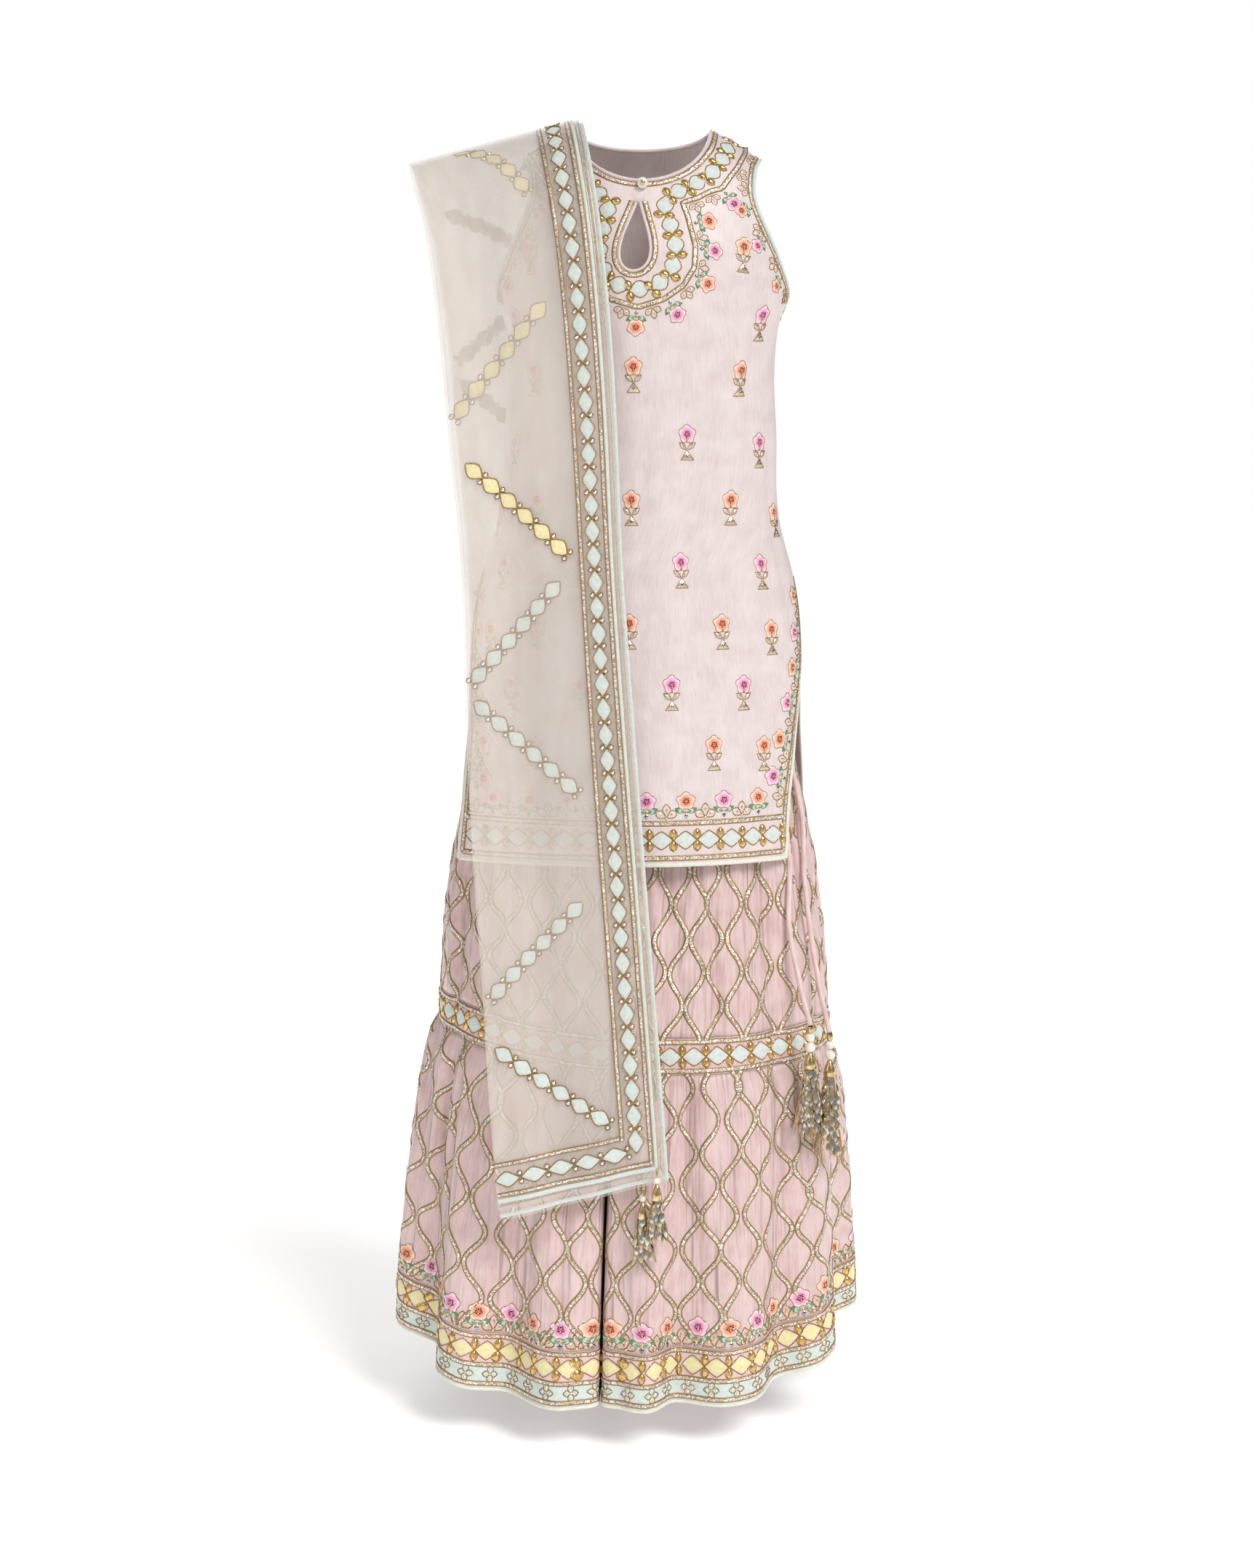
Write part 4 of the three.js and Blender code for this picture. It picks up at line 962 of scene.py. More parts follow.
# %% [markdown]
# ## The net itself
# Soft net is mostly holes: each layer hides about a quarter of what lies behind it, and four layers
# look cloudy. The holes are far too fine to model, so one layer is a smooth sheet that lets three
# quarters of the light through, with a faint cloud in its colour where the mesh of two layers crosses.

# %% Net finish
NET_HIDES = 0.25
net_finish, net_body, add = new_finish(
    "ivory soft net", Roughness=0.75, Alpha=NET_HIDES, Sheen_Weight=0.1, IOR=1.3
)
net_uv = add("TexCoord", out="UV")
cloud_map = add("Mapping", {"Vector": net_uv, "Scale": (per_metre(14.3), per_metre(38.5), 1)})
cloud_links = {"Vector": cloud_map, "Scale": 1.0, "Detail": 3.0, "Distortion": 0.6}
cloud = add("TexNoise", cloud_links)
cloud_stops = [(0.3, "#E7DCD1"), (0.52, "#EEE5DB"), (0.72, "#F5EFE7")]
connect(net_body, {"Base Color": add("ValToRGB", {"Fac": cloud}, cloud_stops)})
print("share that one layer hides:", NET_HIDES)

# %% Net sheet
RIGHT_EDGES = [192, 196, 196, 201]
ACROSS_POINTS, SHAWL_ROWS, LAYER_STEP = 36, 236, 0.045


def folded_section():
    """Across and height of the folded strip: layers run to and fro, joined by half circles."""
    across, height, layer = [], [], []
    for k in range(4):
        left = 0 if k < 2 else 2.5
        line = np.linspace(left, RIGHT_EDGES[k], ACROSS_POINTS)
        line = line[::-1] if k % 2 == 0 else line
        across += list(line)
        height += [layer_height(k)] * ACROSS_POINTS
        layer += [k] * ACROSS_POINTS
        if k < 3:
            turn = np.linspace(0, np.pi, 6)[1:-1]
            end, out = line[-1], -1 if k % 2 == 0 else 1
            across += list(end + out * NET_PITCH / 2 * np.sin(turn))
            height += list(layer_height(k) - NET_PITCH / 2 + NET_PITCH / 2 * np.cos(turn))
            layer += list(k + turn / np.pi)
    return np.array(across), np.array(height), np.array(layer)


section_across, section_height, section_layer = folded_section()
start = -LAYER_STEP * (section_layer - 3)
end = LAST_STEP + LAYER_STEP * (section_layer - 3)
travel = np.linspace(0, 1, SHAWL_ROWS)[:, None]
steps = start[None, :] + (end - start)[None, :] * travel
net_points = shawl_at(np.broadcast_to(section_across, steps.shape), steps, section_height[None, :])
net_quads = grid_faces(SHAWL_ROWS, len(section_across), flip=True)
run = np.r_[0, np.cumsum(np.hypot(np.diff(section_across), np.diff(section_height)))]
net_places = np.stack([np.broadcast_to(run, steps.shape) * MM, arc_lengths(net_points, 0) * MM], -1)
net = make_piece("shawl_net", net_points.reshape(-1, 3), [net_quads], net_places.reshape(-1, 2))
dress(net, net_finish, "shawl_net", "shawl")
print("shawl area", round(area_of(net_points, net_quads), 3), "m2, faces", len(net_quads))

# %% [markdown]
# ## Thin finishes for the trims
# The piping and hems are cotton silk in mint and cream. Gold cord is metal thread twisted round a core.
# The silver middle of each line is flat sequins, overlapped and a little uneven, each painted its own
# brightness, up to white, as a painted glint. Antique gold beads, mirrors and pearls are plain metal,
# glass and nacre.

# %% Trim finishes
def grained(name, size, detail, stops, strength, depth, **shader):
    """A finish whose colour and relief both follow one even noise of that size in millimetres."""
    material, body, add = new_finish(name, **shader)
    uv = add("TexCoord", out="UV")
    noise = add("TexNoise", {"Vector": uv, "Scale": per_metre(size), "Detail": detail})
    colour = add("ValToRGB", {"Fac": noise}, stops)
    bump = add("Bump", {"Height": noise, "Strength": strength, "Distance": depth * MM})
    connect(body, {"Base Color": colour, "Normal": bump})
    return material


def plain_cloth(name, pale, deep):
    """A firm plain cloth: small puckers from the stitches, and a colour that varies softly."""
    stops, sheen = [(0.32, deep), (0.68, pale)], {"Sheen_Weight": 0.2, "Sheen_Roughness": 0.5}
    return grained(name, 4.76, 3.0, stops, 0.5, 0.8, Roughness=0.6, **sheen)


def metal(name, deep, pale, roughness, size=3.33):
    """A small cast or stamped metal piece: nearly one colour, and a faint uneven relief."""
    return grained(name, size, 2.0, [(0.3, deep), (0.7, pale)], 0.4, 0.6, Metallic=1.0, Roughness=roughness)


def gold_cord_finish():
    """Twisted metal thread: slanted strands every 1.2 mm, darker in between."""
    material, body, add = new_finish("twisted gold thread", Metallic=0.75, Roughness=0.42)
    slant = add("Mapping", {"Vector": add("TexCoord", out="UV"), "Rotation": (0, 0, 0.7)})
    waves = {"Vector": slant, "Scale": bands(1.2), "Distortion": 0.6}
    strand = add("TexWave", waves, bands_direction="Y", out="Fac")
    stops = [(0.05, "#7F5F3C"), (0.5, "#AE8752"), (1.0, "#DDBF90")]
    colour = add("ValToRGB", {"Fac": strand}, stops)
    relief = add("Bump", {"Height": strand, "Strength": 0.7, "Distance": 0.6 * MM})
    connect(body, {"Base Color": colour, "Normal": relief})
    return material


GOLD_EDGE = 0.24


def sequin_line_finish():
    """Across the line, u runs from 0 to 1: gold cord where it is far from the middle, and between
    the two cords silver sequins of about 1.4 mm, each painted its own brightness from grey to white
    as a painted glint."""
    material, body, add = new_finish("gold edged sequin line", Metallic=0.5, Roughness=0.42)
    uv = add("TexCoord", out="UV")
    across = add("SeparateXYZ", {"Vector": uv}, out="X")
    centred = add("Math", {0: across, 1: 0.5}, operation="SUBTRACT")
    far = add("Math", {0: centred}, operation="ABSOLUTE")
    edge = add("Math", {0: far, 1: GOLD_EDGE}, operation="GREATER_THAN")
    discs = add("Mapping", {"Vector": uv, "Scale": (4.4, per_metre(1.316), 1)})
    rim = add("TexVoronoi", {"Vector": discs, "Scale": 1.0}, out="Distance")
    # painted glints: each sequin's own random value picks a brightness from grey to white
    shade = add("SeparateXYZ", {"Vector": rim.node.outputs["Color"]}, out="X")
    silver_and_glint_stops = [(0.0, "#85786A"), (0.3, "#B9AC98"), (0.7, "#E2D9CA"), (0.92, "#FFFFFF")]
    silver = add("ValToRGB", {"Fac": shade}, silver_and_glint_stops)
    twist = add("Mapping", {"Vector": uv, "Scale": (0.004, 1, 1), "Rotation": (0, 0, 0.5)})
    strand = add("TexWave", {"Vector": twist, "Scale": bands(1.57)}, bands_direction="Y", out="Fac")
    gold = add("ValToRGB", {"Fac": strand}, [(0.1, "#84623B"), (0.9, "#BF9A66")])
    mixed = add("Mix", {"Factor": edge, "A": silver, "B": gold}, data_type="RGBA", out="Result")
    relief = add("Bump", {"Height": rim, "Strength": 0.6, "Distance": 0.7 * MM})
    connect(body, {"Base Color": mixed, "Normal": relief})
    return material


mint_cloth = plain_cloth("mint cotton silk", "#DCE3DD", "#CAD5CE")
cream_cloth = plain_cloth("cream piping silk", "#EDEBDD", "#DCDCCB")
gold_cord = gold_cord_finish()
sequin_line = sequin_line_finish()
antique_gold = metal("antique gold bead", "#BE9346", "#F0D18E", 0.32)
bright_gold = metal("bright gold cap", "#B8965C", "#EED9A8", 0.28)
pale_gold = metal("pale gold drop", "#CDB88F", "#F6EBD0", 0.24)
mirror_glass = metal("small mirror", "#C4BEB0", "#F8F3E8", 0.2, 8.33)
tie_silk = silk("rose tie silk", "#F1DAD6", "#E9CBC7", "#D9B8B4", 0.4)

pearl, pearl_body, add = new_finish(
    "cream pearl", Roughness=0.22, Coat_Weight=0.5, Coat_Roughness=0.1, Sheen_Weight=0.3
)
pearl_at = add("TexCoord", out="Object")
nacre = add("TexNoise", {"Vector": pearl_at, "Scale": per_metre(6.25)})
nacre_colour = add("ValToRGB", {"Fac": nacre}, [(0.35, "#E6DCCB"), (0.65, "#FBF6EC")])
connect(pearl_body, {"Base Color": nacre_colour})
print("finishes so far:", len(bpy.data.materials))

# %% [markdown]
# ## Profiles carried along a path
# Piping, cord and flat lines are all the same idea: a small section carried along a path. On the cloth,
# each point of the section is placed by the cloth's own surface, so a line bends with every fold. A free
# cord carries its section on frames that don't twist.

# %% Lines laid on a cloth
def even_path(cloth, a, b, spacing):
    """The same path in equal steps of its length on the cloth, and the distance gone at each."""
    gone = walked(cloth.at(a, b))
    want = np.linspace(0, gone[-1], max(3, int(np.ceil(gone[-1] / spacing)) + 1))
    return np.interp(want, gone, a), np.interp(want, gone, b), want


def lay_line(heap, cloth, a, b, section):
    """section is rows of (across, height, u). The path's own direction on the cloth gives the way
    across, and v runs with the distance, in metres."""
    x, y = cloth.heading(a, b)
    size = np.maximum(np.hypot(x, y), 1e-9)
    off, height, u = np.array(section, float).T
    a2, b2 = cloth.moved(a[:, None], b[:, None], -(y / size)[:, None] * off, (x / size)[:, None] * off)
    uv = pairs(u, walked(cloth.at(a, b))[:, None] * MM)
    faces = grid_faces(len(a), len(section), flip=cloth.side < 0)
    heap.add(cloth.lifted(a2, b2, height), faces, uv)


def flat_line(width, high=0.9):
    """Section of a sequin line: flat on top, with its two edges rounded down to the cloth."""
    w = width / 2
    return [(-w, 0.1, 0), (-0.62 * w, high, 0.19), (0.62 * w, high, 0.81), (w, 0.1, 1)]


def cord_section(width, high=0.8):
    """Section of a thin laid cord: four points of a half round."""
    w, u = width / 2, width * MM
    return [(-w, 0.1, 0), (-0.5 * w, high, u / 3), (0.5 * w, high, u * 2 / 3), (w, 0.1, u)]


# %% Piping round the neck, armholes and keyhole
def neck_line(face, count=160):
    """The neck's half ellipse, from one shoulder to the other, as angles and levels."""
    turn = np.linspace(0, np.pi, count)
    deep = NECK_FRONT if face == FRONT else NECK_BACK
    z = SEAM_TOP - deep * np.sin(turn)
    x = NECK_HALF * np.cos(turn)
    return np.arcsin(clamp(x / tunic_half(np.sqrt(SEAM_TOP - z)), -1, 1)), z


def arm_line(side, face, count=160):
    """Half of the armhole's ellipse on one panel. At each depth y and level z the cloth's own level
    is found by halving, because the shoulder's slope lowers it."""
    turn = np.linspace(-np.pi / 2, np.pi / 2, count)
    y, want = ARM_DEEP * np.cos(turn), ARM_Z + ARM_HALF * np.sin(turn)
    low, high = want.copy(), np.full(count, float(SEAM_TOP))
    for _ in range(50):
        level = (low + high) / 2
        root = np.sqrt(SEAM_TOP - level)
        share = clamp(y / np.maximum(tunic_deep[face](root), 1e-6))
        angle = np.arccos(share ** (1 / ROUND))
        x = tunic_half(root) * np.sin(angle)
        below = level - shoulder_fall(x, level) < want
        low, high = np.where(below, level, low), np.where(below, high, level)
    return side * angle, level


def free_tube(centres, outward, section, closed):
    """A section carried along centres, turned to the outward direction at each."""
    n, m, section = len(centres), len(section), np.array(section)
    along = np.roll(centres, -1, 0) - np.roll(centres, 1, 0)
    along = unit(along if closed else np.gradient(centres, axis=0))
    side = unit(np.cross(along, outward))
    out = np.cross(side, along)
    points = centres[:, None] + out[:, None] * section[:, :1] + side[:, None] * section[:, 1:2]
    quads = grid_faces(n + 1, m, True) % (n * m) if closed else grid_faces(n, m, True)
    uv = pairs(section[:, 2], walked(centres)[:, None] * MM)
    return points.reshape(-1, 3), quads, uv.reshape(-1, 2)


def outward_volume(points, quads):
    """Over 0 where the faces look outwards: six times the volume that they close in."""
    p = points[quads]
    return float((p[:, 0] * (np.cross(p[:, 1], p[:, 2]) + np.cross(p[:, 2], p[:, 3]))).sum())


def tube_piece(name, centres, outward, radius, closed, squash=1.0, sides=12):
    """A round or squashed section carried along centres, with its ends closed and facing outwards."""
    turn = 2 * np.pi * np.arange(sides) / sides
    section = [(radius * squash * np.cos(t), radius * np.sin(t), radius * t * MM) for t in turn]
    points, quads, uv = free_tube(centres, outward, section, closed)
    faces = [quads]
    if not closed:
        faces += [np.arange(sides)[None, ::-1], np.arange(len(points) - sides, len(points))[None]]
    if outward_volume(points - points.mean(0), quads) < 0:
        faces = [f[:, ::-1] for f in faces]
    return make_piece(name, points, faces, uv, period=2 * np.pi * radius * MM)


def ring_path(parts, count):
    """Points and normals of several stretches of cloth, joined and spaced evenly as one ring."""
    points = np.concatenate([cloth.at(a, b) for cloth, a, b in parts])
    normals = np.concatenate([cloth.outward(a, b) for cloth, a, b in parts])
    points, normals = np.r_[points, points[:1]], np.r_[normals, normals[:1]]
    gone = walked(points)
    want = gone[-1] * np.arange(count) / count
    points, normals = [
        np.stack([np.interp(want, gone, grid[:, k]) for k in range(3)], -1) for grid in (points, normals)
    ]
    return points, unit(normals)


def front_and_back(front_line, back_line):
    """One panel's line and the other's, as two stretches that close a ring, their ends left out."""
    return [
        (tunic[FRONT], *[column[1:-1] for column in front_line]),
        (tunic[BACK], *[column[-2:0:-1] for column in back_line]),
    ]


NECK_PIPING, ARM_PIPING, KEY_PIPING = 2.0, 2.1, 1.6
centres, outward = ring_path(front_and_back(neck_line(FRONT), neck_line(BACK)), 170)
neck_piping = tube_piece("neck_piping", centres, outward, NECK_PIPING, True)
dress(neck_piping, blush_silk, "tunic_silk", "neck_binding")
for side, word in SIDES:
    centres, outward = ring_path(front_and_back(arm_line(side, FRONT), arm_line(side, BACK)), 150)
    piping = tube_piece(f"armhole_piping_{word}", centres, outward, ARM_PIPING, True)
    dress(piping, mint_cloth, "mint_trim", f"armhole_binding_{word}")


def key_line(start, count=120):
    """The keyhole's drop, from one side of its top round to the other, as angles and levels."""
    turn = np.linspace(start, 2 * np.pi - start, count)
    z = KEY_MIDDLE + KEY_TALL * np.cos(turn)
    x = drop_half(turn) - NECK_MIDDLE + KEY_LEAN * (z - KEY_LOW) / (KEY_TOP - KEY_LOW)
    return np.arcsin(x / tunic_half(np.sqrt(SEAM_TOP - z))), z


key_a, key_z = key_line(0.72)
key_centres, key_outward = tunic[FRONT].at(key_a, key_z), tunic[FRONT].outward(key_a, key_z)
key_piping = tube_piece("keyhole_piping", key_centres, key_outward, KEY_PIPING, False)
dress(key_piping, blush_silk, "tunic_silk", "keyhole_binding")
print("armhole piping, mm:", round(walked(centres)[-1]))

# %% [markdown]
# ## Edge binding of the tunic
# A bias strip folds over the raw edge of the slits and hem. It is made as a flat, rounded bar, 5 mm wide,
# carried down one slit, along the hem and up the other.

# %% Slit and hem binding
BIND = 5


def edge_path(face, inset, count=110):
    """Angles and levels down the right slit, along the hem and up the left one, that many
    millimetres in from the edge."""
    z = np.linspace(SLIT_TOP - 1, TUNIC_HEM + inset, count)
    half = tunic_half(np.sqrt(SEAM_TOP - z))
    down = -(side_angle(z, face) - inset / half)
    corner = down[-1]
    along = np.linspace(corner, -corner, count + 2)[1:-1]
    a = np.r_[down, along, -down[::-1]]
    return a, np.r_[z, np.full(count, z[-1]), z[::-1]]


for face, word in FACES:
    a, b = edge_path(face, BIND / 2)
    a, b, _ = even_path(tunic[face], a, b, 4.0)
    centres, outward = tunic[face].at(a, b), tunic[face].outward(a, b)
    binding = tube_piece(f"edge_binding_{word}", centres, outward, BIND / 2, False, squash=0.52)
    dress(binding, cream_cloth, "mint_trim", f"tunic_{word}_edge")

# %% [markdown]
# ## Hem borders of the trousers
# The border below each lower tier is a rose band above a mint one. Both are one strip here, and its
# finish changes colour at the line between them, which a row of sequins covers.

# %% Hem borders
HEM_SPLIT = -1373
hem_finish, hem_body, add = new_finish("rose and mint hem silk", Roughness=0.5, Sheen_Weight=0.2)
hem_uv = add("TexCoord", out="UV")
hem_level = add("SeparateXYZ", {"Vector": hem_uv}, out="Y")
hem_top = add("Math", {0: hem_level, 1: HEM_SPLIT * MM}, operation="GREATER_THAN")
pucker = add("TexNoise", {"Vector": hem_uv, "Scale": per_metre(5.56), "Detail": 3.0})
hem_mint = add("ValToRGB", {"Fac": pucker}, [(0.3, "#C6D4CD"), (0.7, "#DCE6E0")])
hem_rose = add("ValToRGB", {"Fac": pucker}, [(0.3, "#DDBDBB"), (0.7, "#E9CDCB")])
hem_mix = add("Mix", {"Factor": hem_top, "A": hem_mint, "B": hem_rose}, data_type="RGBA", out="Result")
hem_relief = add("Bump", {"Height": pucker, "Strength": 0.5, "Distance": 0.8 * MM})
connect(hem_body, {"Base Color": hem_mix, "Normal": hem_relief})
for side, word in SIDES:
    border = leg_piece(side, f"hem_border_{word}_cloth", np.linspace(HEM_TOP, HEM_LOW, 12), 400)
    dress(thicken(border, 1.8), hem_finish, "hem_cloth", f"hem_border_{word}")

# %% [markdown]
# ## Turned beads, caps and tassels
# Beads and caps are round about their own axis, so each is a profile turned round: a radius and a height
# in turn. The tassels hang many leaf-shaped mirror drops and fine chains from a gold cap.

# %% Turned shapes and drops
def turned(heap, profile, x, y, z, sides=20):
    """A fair profile of (radius, height) pairs, turned about the vertical line through (x, y)."""
    profile = np.array(profile, float)
    r, h = profile.T[..., None]
    turn = 2 * np.pi * np.arange(sides) / sides
    points = np.stack(np.broadcast_arrays(x + r * np.cos(turn), y + r * np.sin(turn), z + h), -1)
    quads = grid_faces(len(profile), sides, True, flip=profile[0, 1] <= profile[-1, 1])
    heap.add(points, quads, pairs(turn * 0.004, walked(profile)[:, None] * MM))


def bead(radius, top, flat=1.0, rows=12):
    """A ball's profile from top to bottom."""
    t = np.linspace(0, np.pi, rows)
    return np.c_[radius * np.sin(t) + 0.01, top - radius * flat + radius * flat * np.cos(t)]


def drop_leaf(heap, root, down, wide_dir, length, width):
    """A leaf-shaped mirror drop: its width rises and falls along its length as a sine, and its
    middle is a little proud."""
    t, s = np.linspace(0, 1, 5)[:, None], np.array([-1, 0, 1])
    down, wide_dir = unit(np.array(down, float)), np.array(wide_dir, float)
    wide_dir = unit(wide_dir - down * (wide_dir @ down))
    out = np.cross(wide_dir, down)
    half = width / 2 * np.sin(np.pi * t) ** 0.8
    flat = np.array(root) + down * (length * t)[..., None] + wide_dir * (half * s)[..., None]
    bulge = 0.15 + 0.55 * (1 - s**2) * np.sin(np.pi * t)
    for face_side in (1, -1):
        points = flat + out * (face_side * bulge)[..., None]
        heap.add(points, grid_faces(5, 3, flip=face_side < 0), pairs(s * 0.003, t * 0.008))


GOLDEN_TURN, CHAINS, CHAIN_RADIUS = 2.399963, 12, 0.55


def hanging_bunch(drops, gilt, chains, x, y, top, wide, length, count, seed):
    """Drops in tiers that widen downwards, each turned its own way, one in three of them gilt, and
    fine chains that reach the end."""
    pick = np.random.default_rng(seed)
    for k in range(count):
        level = (k / count) ** 0.75
        angle = GOLDEN_TURN * k + pick.uniform(-0.3, 0.3)
        reach = wide * (0.45 + 0.85 * level) * pick.uniform(0.55, 1.0)
        root = [x + reach * np.cos(angle), y + reach * np.sin(angle), top - length * 0.82 * level]
        lean = [0.22 * np.cos(angle), 0.22 * np.sin(angle), -1]
        face_dir = [-np.sin(angle), np.cos(angle), pick.uniform(-0.4, 0.4)]
        heap = gilt if k % 3 == 1 else drops
        drop_leaf(heap, root, lean, face_dir, pick.uniform(10, 14), pick.uniform(5.8, 8.2))
    for k in range(CHAINS):
        angle = GOLDEN_TURN * k + 0.5
        reach = wide * 1.15 * np.sqrt((k + 0.5) / CHAINS)
        end = length * pick.uniform(0.84, 1.0)
        rule = fair_line([[0, 0, 0], [0.35, 0.35, -0.4 * end], [0.9, 0.9, -end]], 9)
        away = reach * (0.3 + rule[:, 0])
        centres = np.c_[x + away * np.cos(angle), y + away * np.sin(angle), top + rule[:, 2]]
        turn = 2 * np.pi * np.arange(5) / 5
        section = np.c_[CHAIN_RADIUS * np.cos(turn), CHAIN_RADIUS * np.sin(turn), turn * 0.0003]
        out = np.tile([np.cos(angle), np.sin(angle), 0.0], (9, 1))
        points, quads, uv = free_tube(centres, out, section, False)
        inside_out = outward_volume(points - points.mean(0), quads) < 0
        chains.add(points, quads[:, ::-1] if inside_out else quads, uv)


def dress_tassel(heaps, first, word, node, pearls):
    """Makes a tassel's five pieces: the cap stands for the solid, and the rest hang from it."""
    parts = (
        ("cap", bright_gold, "gold_thread"),
        (pearls, pearl, "mirror_work"),
        ("drops", mirror_glass, "mirror_work"),
        ("gilt_drops", pale_gold, "gold_thread"),
        ("chains", antique_gold, "gold_thread"),
    )
    return [
        dress(heap.piece(f"{first}_{part}_{word}"), finish, slot, *([node] if part == "cap" else []))
        for heap, (part, finish, slot) in zip(heaps, parts)
    ]


# %% [markdown]
# ## The drawstring's two free ends
# The trousers are drawn in by a silk tie, and both of its ends leave the casing at the wearer's left and
# hang over the trousers. Each route is the same list of points as the solid's: some beside the trousers,
# at an angle, a level and a distance out, and then free. Rings on frames that don't twist follow it.

# %% Drawstring ends
DRAW_ENDS = {
    "a": (
        [(61, -408, 3.8), (62.5, -436, 4.2), (66, -500, 5), (69, -590, 5), (70, -680, 5), (71, -766, 5)],
        [(195, -62, -830), (203, -77, -900), (213, -102, -960), (221, -128, -997)],
    ),
    "b": (
        [(53, -408, 3.8), (54, -436, 4.2), (57, -500, 5), (59, -590, 5), (59, -680, 5), (58, -766, 5)]
        + [(56.5, -820, 5)],
        [(176, -97, -880), (187, -121, -940), (198, -142, -985)],
    ),
}
TIE_RADIUS, TIE_POINTS = 3.0, 200
TIE_COLLAR = [(3.1, 0.1), (3.7, -1.6), (3.7, -5.2), (3.1, -7.0), (2.0, -7.4), (0.3, -7.6)]
TIE_BELL = [(0.3, -30.4), (2.6, -31), (3.4, -33), (5.4, -38), (6.8, -43), (7.4, -48), (6.8, -48.6)]
TIE_BELL += [(0.3, -48)]
# each end's bunch: how long it hangs in millimetres, and the seed of its drops' places
BUNCHES = {"a": (106, 5), "b": (88, 8)}


def beside_trousers(degrees, level, off):
    """On the plain section of the trousers at that angle, moved out along the section's normal."""
    angle = np.radians(degrees)
    a, b = float(leg_half(level)), float(leg_front(level))
    out = np.array([np.sin(angle) / a, -np.cos(angle) / b])
    out /= np.hypot(*out)
    y = -b * np.cos(angle) ** ROUND
    return (float(leg_centre(level)) + a * np.sin(angle) + out[0] * off, y + out[1] * off, level)


for word, (beside_it, free) in DRAW_ENDS.items():
    route = [beside_trousers(*place) for place in beside_it] + free
    x, y, z = route[-1]
    gold, pearls, *bunch = [Heap() for _ in range(5)]
    turned(gold, TIE_COLLAR, x, y, z - 0.8)
    turned(pearls, bead(5.1, -8.0), x, y, z)
    turned(pearls, bead(6.0, -18.6), x, y, z)
    turned(gold, TIE_BELL, x, y, z)
    hangs, seed = BUNCHES[word]
    hanging_bunch(*bunch, x, y, z - 44, 15.5, hangs, 96, seed)
    node = f"drawstring_tassel_{word}"
    tassel = dress_tassel([gold, pearls, *bunch], "drawstring", word, node, "pearls")
    centres = fair_line(route, TIE_POINTS)
    out = np.tile([0.5, -0.85, 0.05], (TIE_POINTS, 1))
    tie = tube_piece(f"drawstring_tie_{word}", centres, out, TIE_RADIUS, False, sides=14)
    dress(tie, tie_silk, "silk_cord", f"drawstring_end_{word}")
    length = float(walked(centres)[-1]) * MM
    tuple(np.array(route[0]) * MM)
    [tuple(p) for p in centres * MM]
    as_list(tassel[:2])
    print("drawstring end", word, "m:", round(length, 3))

# %% Button
def facing_front(heap, middle, start=0.0):
    """A turned shape laid so that its axis points forwards, and flattened along it."""
    points = np.concatenate(heap.points)
    heap.points = [middle + np.c_[points[:, 0], start - points[:, 2] * 0.7, points[:, 1]]]
    heap.faces = [f[:, ::-1] for f in heap.faces]


# the button sits where its solid is, at the top of the drop
button_middle = np.mean(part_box("neck_button"), 0) / MM
ball, cap = Heap(), Heap()
turned(ball, bead(6.0, 6.0, rows=16), 0, 0, 0, 24)
facing_front(ball, button_middle)
turned(cap, [(0.1, 1.6), (1.6, 1.5), (2.6, 0.9), (3.0, 0.2), (2.8, 0.0)], 0, 0, 0, 16)
facing_front(cap, button_middle, -3.9)
dress(ball.piece("neck_pearl"), pearl, "mirror_work", "neck_button")
dress(cap.piece("neck_pearl_cap"), bright_gold, "gold_thread")
print("button's middle, mm:", button_middle.round(1).tolist())

# %% Corner tassels
CORNERS = ("front_outer", "front_inner", "back_outer", "back_inner")
CORNER_BELL = [(0.3, -17.2), (2.0, -17.8), (3.2, -22), (5.0, -28), (6.1, -35), (5.6, -35.4), (0.3, -35)]
for index, word in enumerate(CORNERS):
    low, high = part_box(f"corner_tassel_{word}")
    x, y, top = (low[0] + high[0]) / 2 / MM, (low[1] + high[1]) / 2 / MM, high[2] / MM
    gold, pearls, *bunch = [Heap() for _ in range(5)]
    turned(gold, [(0.3, 0.0), (1.2, -0.6), (1.2, -10.2)], x, y, top, 10)
    turned(pearls, bead(3.6, -10.0), x, y, top, 16)
    turned(gold, CORNER_BELL, x, y, top)
    hanging_bunch(*bunch, x, y, top - 29, 10.0, 54, 56, 20 + index)
    dress_tassel([gold, pearls, *bunch], "corner", word, f"corner_tassel_{word}", "pearl")

# %% [markdown]
# ## Embroidery as motifs
# A motif is drawn once, flat, in millimetres: x across, y up, and a height above the cloth. It is a list
# of parts, each of one finish. Sewing it on moves every point to the cloth's own surface, so that a
# flower near a fold bends with it. Each part has only a few dozen faces, because there are hundreds.

# %% Floss, leaf and bead finishes
def floss(name, stops):
    """Silk floss: its colour runs with the tint kept in the mesh, from the root to the edge."""
    material, body, add = new_finish(name, Roughness=0.5, Sheen_Weight=0.25)
    tint = add("Attribute", attribute_name="tint", out="Fac")
    uv = add("TexCoord", out="UV")
    streak = add("TexNoise", {"Vector": uv, "Scale": per_metre(1.111), "Detail": 2.0})
    mixed = add("Math", {0: streak, 1: 0.3, 2: tint}, operation="MULTIPLY_ADD")
    colour = add("ValToRGB", {"Fac": mixed}, stops)
    relief = add("Bump", {"Height": streak, "Strength": 0.4, "Distance": 0.5 * MM})
    connect(body, {"Base Color": colour, "Normal": relief})
    return material


